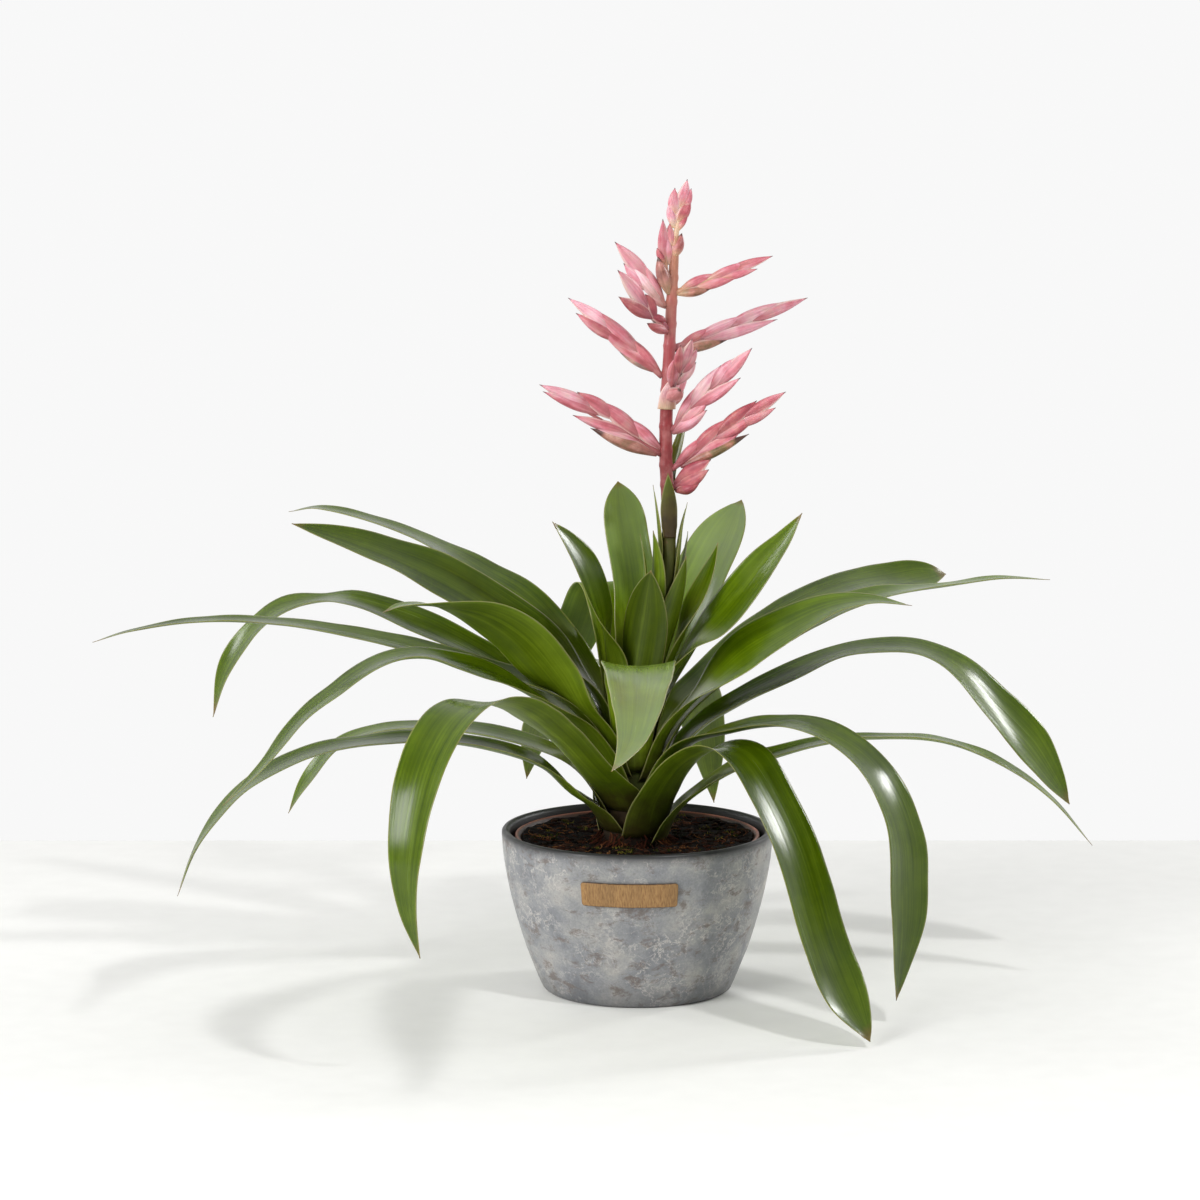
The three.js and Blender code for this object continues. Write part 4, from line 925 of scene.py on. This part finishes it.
def bract_skin(add):
    """Bract skin: stiff and satiny, with parallel veins 0.6 mm apart. Flower bracts are brick rose to pale
    pink with thin whitish margins, a foot cream on creamy spikes and dark mauve on the others, the mauve
    partly painted shade where the bract below covers it, and a dry brown point; clasping bracts are olive
    and brown."""
    along, across, tone, pale, green, cream = (
        add("Attribute", (), attribute_name=name, out="Fac")
        for name in ("along", "across", "tone", "pale", "green", "cream")
    )
    place = add("TexCoord", (), out="Object")
    skin = add("CombineXYZ", (across, along, tone))
    veins, bands = (
        add("TexNoise", {"Vector": add("Mapping", {"Vector": skin, "Scale": scale}),
            "Scale": 1.0, "Detail": detail, "Roughness": 0.6})
        for scale, detail in (((10, 1.2, 53), 3), ((2.2, 1.6, 53), 2))
    )
    clouds = add("TexNoise", {"Vector": place, "Scale": 1 / 9 / MM, "Detail": 4, "Roughness": 0.55})
    body = add("Math", (clouds, pale), operation="ADD")
    body = add("Math", (body, bands), operation="ADD")
    body = add("MapRange", (body, 0.95, 2.1, 0.0, 1.0))
    roses = [(0.0, "#9c4450"), (0.28, "#b95e67"), (0.5, "#d07c89"), (0.72, "#e2a4b2"), (1.0, "#f3d0d4")]
    colour = add("ValToRGB", (body,), stops=roses)
    tan = add("MapRange", (clouds, 0.48, 0.7, 0.0, 0.5))
    olives = [(0.35, "#4b4a28"), (0.48, "#7a6842"), (0.58, "#a4705c"), (0.7, "#c39a84")]
    olive = add("ValToRGB", (clouds,), stops=olives)
    # The dark mauve feet, fading up to mid-bract, are partly painted shade where the bract below covers them.
    feet = add("ValToRGB", (cream,), stops=[(0.0, "#8e4653"), (0.5, "#99605a"), (1.0, "#d3bd8e")])
    foot = add("MapRange", (along, 0.0, 0.45, 0.85, 0.0))
    shade = add("MapRange", (veins, 0.3, 0.7, 0.82, 1.14))
    side = add("Math", (across,), operation="ABSOLUTE")
    rim = add("MapRange", (side, 0.8, 1.0, 0.0, 0.85), interpolation_type="SMOOTHSTEP")
    dry = add("Math", (green, 0.17), operation="MULTIPLY")
    dry = add("Math", (along, dry), operation="ADD")
    dry = add("MapRange", (dry, 0.93, 0.98, 0.0, 0.9))
    for cover, paint, blend in (
        (tan, "#bd8571", "MIX"), (green, olive, "MIX"), (foot, feet, "MIX"), (1.0, shade, "MULTIPLY"),
        (rim, "#ecd0c8", "MIX"), (dry, "#4a302c", "MIX"),
    ):
        colour = add("Mix", {0: cover, 6: colour, 7: paint}, out=2, data_type="RGBA", blend_type=blend)
    bump = add("Bump", {"Height": veins, "Strength": 0.4, "Distance": 0.1 * MM})
    through = {"Subsurface Weight": 0.15, "Subsurface Radius": (1.0, 0.5, 0.4), "Subsurface Scale": 0.6 * MM}
    return {"Base Color": colour, "Roughness": 0.38, "IOR": 1.45, "Normal": bump} | through


def boat_bract(row, thick):
    """A boat-shaped bract, folded on its keel with the margins nearly meeting on the other side, as two grids
    of points and their values. The axis is +Z and the keel faces +X or -X."""
    root_up, root_out, tip_up, tip_out, width, keel = row
    root, tip = Vector((root_out, 0, root_up)), Vector((tip_out, 0, tip_up))
    middle, values = [], {"along": [], "across": []}
    for i in range(BRACT_ROWS + 1):
        t = i / BRACT_ROWS
        form = bract_form(t)[1]
        for j in range(BRACT_COLUMNS + 1):
            a = keel * (1 - 2 * j / BRACT_COLUMNS)
            b = abs(a)
            x = keel * width * form * (KEEL_OUT - FOLD_BACK * b**1.25)
            y = math.copysign(thick * form * 0.5 * math.sin(FOLD_ANGLE * b**0.8), a)
            middle.append(root.lerp(tip, t) + Vector((x, y, 0)))
            values["along"].append(t)
            values["across"].append(a)
    wide = BRACT_COLUMNS + 1
    grids = ([], [])
    for k, point in enumerate(middle):
        i, j = divmod(k, wide)
        along = middle[min(i + 1, BRACT_ROWS) * wide + j] - middle[max(i - 1, 0) * wide + j]
        across = middle[i * wide + min(j + 1, wide - 1)] - middle[i * wide + max(j - 1, 0)]
        out = along.cross(across).normalized() * (BRACT_THICK / 2)
        out *= min(1.0, 0.25 + bract_form(i / BRACT_ROWS)[1])
        grids[0].append(point - out)
        grids[1].append(point + out)
    return grids[0] + grids[1], {title: numbers * 2 for title, numbers in values.items()}


def spike_parts(rng, low, stand, heading, climb, turn, pale, cream, clasp, bracts):
    """A spike's stalk, the bract that clasps the stem under it, and its flower bracts, each thinner than the
    one it grows from, so that they lie in each other."""
    stalk = (
        Matrix.Translation((stem_x(low), 0, low))
        @ Matrix.Rotation(math.radians(heading), 4, "Z")
        @ Matrix.Translation((stand, 0, 0))
        @ Matrix.Rotation(math.radians(90 - climb), 4, "Y")
    )
    foot = stalk @ Matrix.Rotation(math.radians(turn), 4, "Z")
    slab = grid_slab(BRACT_ROWS, BRACT_COLUMNS)

    def skin(green=0.0):
        tone = rng.random()
        return {"tone": [tone], "pale": [pale + 0.6 * (tone - 0.5)], "green": [green], "cream": [cream]}

    steps = range(STALK_STEPS + 1)
    reach = max(row[2] for row in bracts)
    path = [foot @ Vector((0, 0, (STALK_SUNK + 0.6 * reach) * i / STALK_STEPS - STALK_SUNK)) for i in steps]
    made = tube(path, [STALK_RADIUS - STALK_THINNER * i for i in steps], STALK_SIDES)
    yield *made, {"along": [0.1], "across": [0.0]} | skin()
    *form, green = clasp
    points, values = boat_bract((*form, 1), CLASP_DEPTH * clasp[4])
    yield [stalk @ p for p in points], slab, values | skin(green)
    full = sum(row[4] for row in bracts) / len(bracts)
    for j, row in enumerate(bracts):
        points, values = boat_bract(row, full * (FIRST_DEPTH - DEPTH_DROP * j / (len(bracts) - 1)))
        yield [foot @ p for p in points], slab, values | skin()


satin_bract = new_material("satin_bract_skin", bract_skin)
for k, (name, *form) in enumerate(SPIKES):
    points, faces, values = joined(spike_parts(random.Random(FIRST_SPIKE_SEED + k), *form))
    piece = mesh_piece("folded_" + name, points, faces, satin_bract, values)
    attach(piece, "root")
    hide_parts(name)


# The dry sheath: a thin papery bract, parchment-coloured with a brown point. It is grown on to the stem at
# its foot and wraps it closely under the front spike.
SHEATH = [(4.6, 359.5), (5.2, 363), (5.8, 368), (6.2, 373), (6.8, 379)]
SHEATH_HEADING, SHEATH_HALF, SHEATH_SEED = -68, 8.2, 99
SHEATH_OPENING = (40, 60, 60)
SHEATH_SKIN = {"tone": 0.3, "pale": 0.9, "green": 0.3, "cream": 0.85}

points, strap_values = strap(
    stem_x, SHEATH_HEADING, SHEATH,
    lambda f: SHEATH_HALF * (1 - f**2.2) + 0.3,
    lambda f: 1.0,
    SHEATH_SEED, BRACT_ROWS, SHEATH_OPENING,
)
values = {"along": strap_values["along"]}
values["across"] = [v / max(strap_values["rib"]) for v in strap_values["rib"]]
values |= {title: [number] * len(points) for title, number in SHEATH_SKIN.items()}
dry_sheath = mesh_piece("dry_sheath", points, grid_slab(BRACT_ROWS, LEAF_COLUMNS), satin_bract, values)
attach(dry_sheath, "root")


# The studio: a pale floor of smooth paper board, a small hard lamp high in front on the right, a big soft one
# on the left, and two soft boxes behind like windows. The far wall is pale; the ceiling and the room in front
# are darker.
FLOOR_EDGE, FLOOR_FRONT, FLOOR_SIDE = 438, -5000, 4000
CAMERA_AT, CAMERA_TARGET, CAMERA_LENS, CAMERA_SENSOR = (-0.023, -2.571, 0.631), (-0.023, 0, 0.242), 127.52, 36


def pale_floor(add):
    """Smooth pale paper board."""
    place = add("TexCoord", (), out="Object")
    grain = add("TexNoise", {"Vector": place, "Scale": 1 / 20 / MM, "Detail": 3})
    colour = add("ValToRGB", (grain,), stops=[(0.3, "#f1f1ee"), (0.7, "#f4f4f1")])
    return {"Base Color": colour, "Roughness": 0.7}


front = [(-FLOOR_SIDE, FLOOR_FRONT, 0), (FLOOR_SIDE, FLOOR_FRONT, 0)]
far = [(FLOOR_SIDE, FLOOR_EDGE, 0), (-FLOOR_SIDE, FLOOR_EDGE, 0)]
floor = mesh_piece("floor", front + far, [(0, 1, 2, 3)], new_material("pale_board", pale_floor))


def aim(thing, place, target):
    """Puts a lamp or camera at a place and points it at a target."""
    thing.location = place
    thing.rotation_euler = (Vector(target) - Vector(place)).to_track_quat("-Z", "Y").to_euler()
    bpy.context.scene.collection.objects.link(thing)


# Name, place, target, side of the square and power.
for name, place, target, size, power in (
    ("key_light", (0.715, -0.98, 1.5), (0, 0, 0.2), 0.12, 9.5),
    ("front_card", (-1.6, -1.7, 1.2), (0, 0, 0.2), 1.2, 46),
    ("right_window", (1.765, 1.005, 1.025), (0.08, -0.09, 0.13), 0.36, 13),
    ("left_window", (-2.1, 0.8, 1.2), (0, 0, 0.2), 0.6, 9),
):
    lamp = bpy.data.lights.new(name, "AREA")
    lamp.size, lamp.energy = size, power
    aim(bpy.data.objects.new(name, lamp), place, target)

world = bpy.data.worlds.new("white_room")
world.use_nodes = True
bpy.context.scene.world = world
world.node_tree.nodes.clear()
add = functools.partial(add_node, world.node_tree)
way = add("TexCoord", (), out="Generated")
depth = add("SeparateXYZ", (way,), out="Y")
height = add("SeparateXYZ", (way,), out="Z")
wall_light = add("MapRange", (depth, -0.7, 0.5, 0.3, 0.94), interpolation_type="SMOOTHSTEP")
ceiling = add("MapRange", (height, 0.1, 0.7, 1.0, 0.7), interpolation_type="SMOOTHSTEP")
strength = add("Math", (wall_light, ceiling), operation="MULTIPLY")
light = add("Background", {"Color": "#ffffff", "Strength": strength})
add("OutputWorld", {"Surface": light})
bpy.context.scene.view_settings.view_transform = "Standard"

view = bpy.data.cameras.new("camera")
view.lens, view.sensor_width = CAMERA_LENS, CAMERA_SENSOR
camera = bpy.data.objects.new("camera", view)
aim(camera, CAMERA_AT, CAMERA_TARGET)
bpy.context.scene.camera = camera
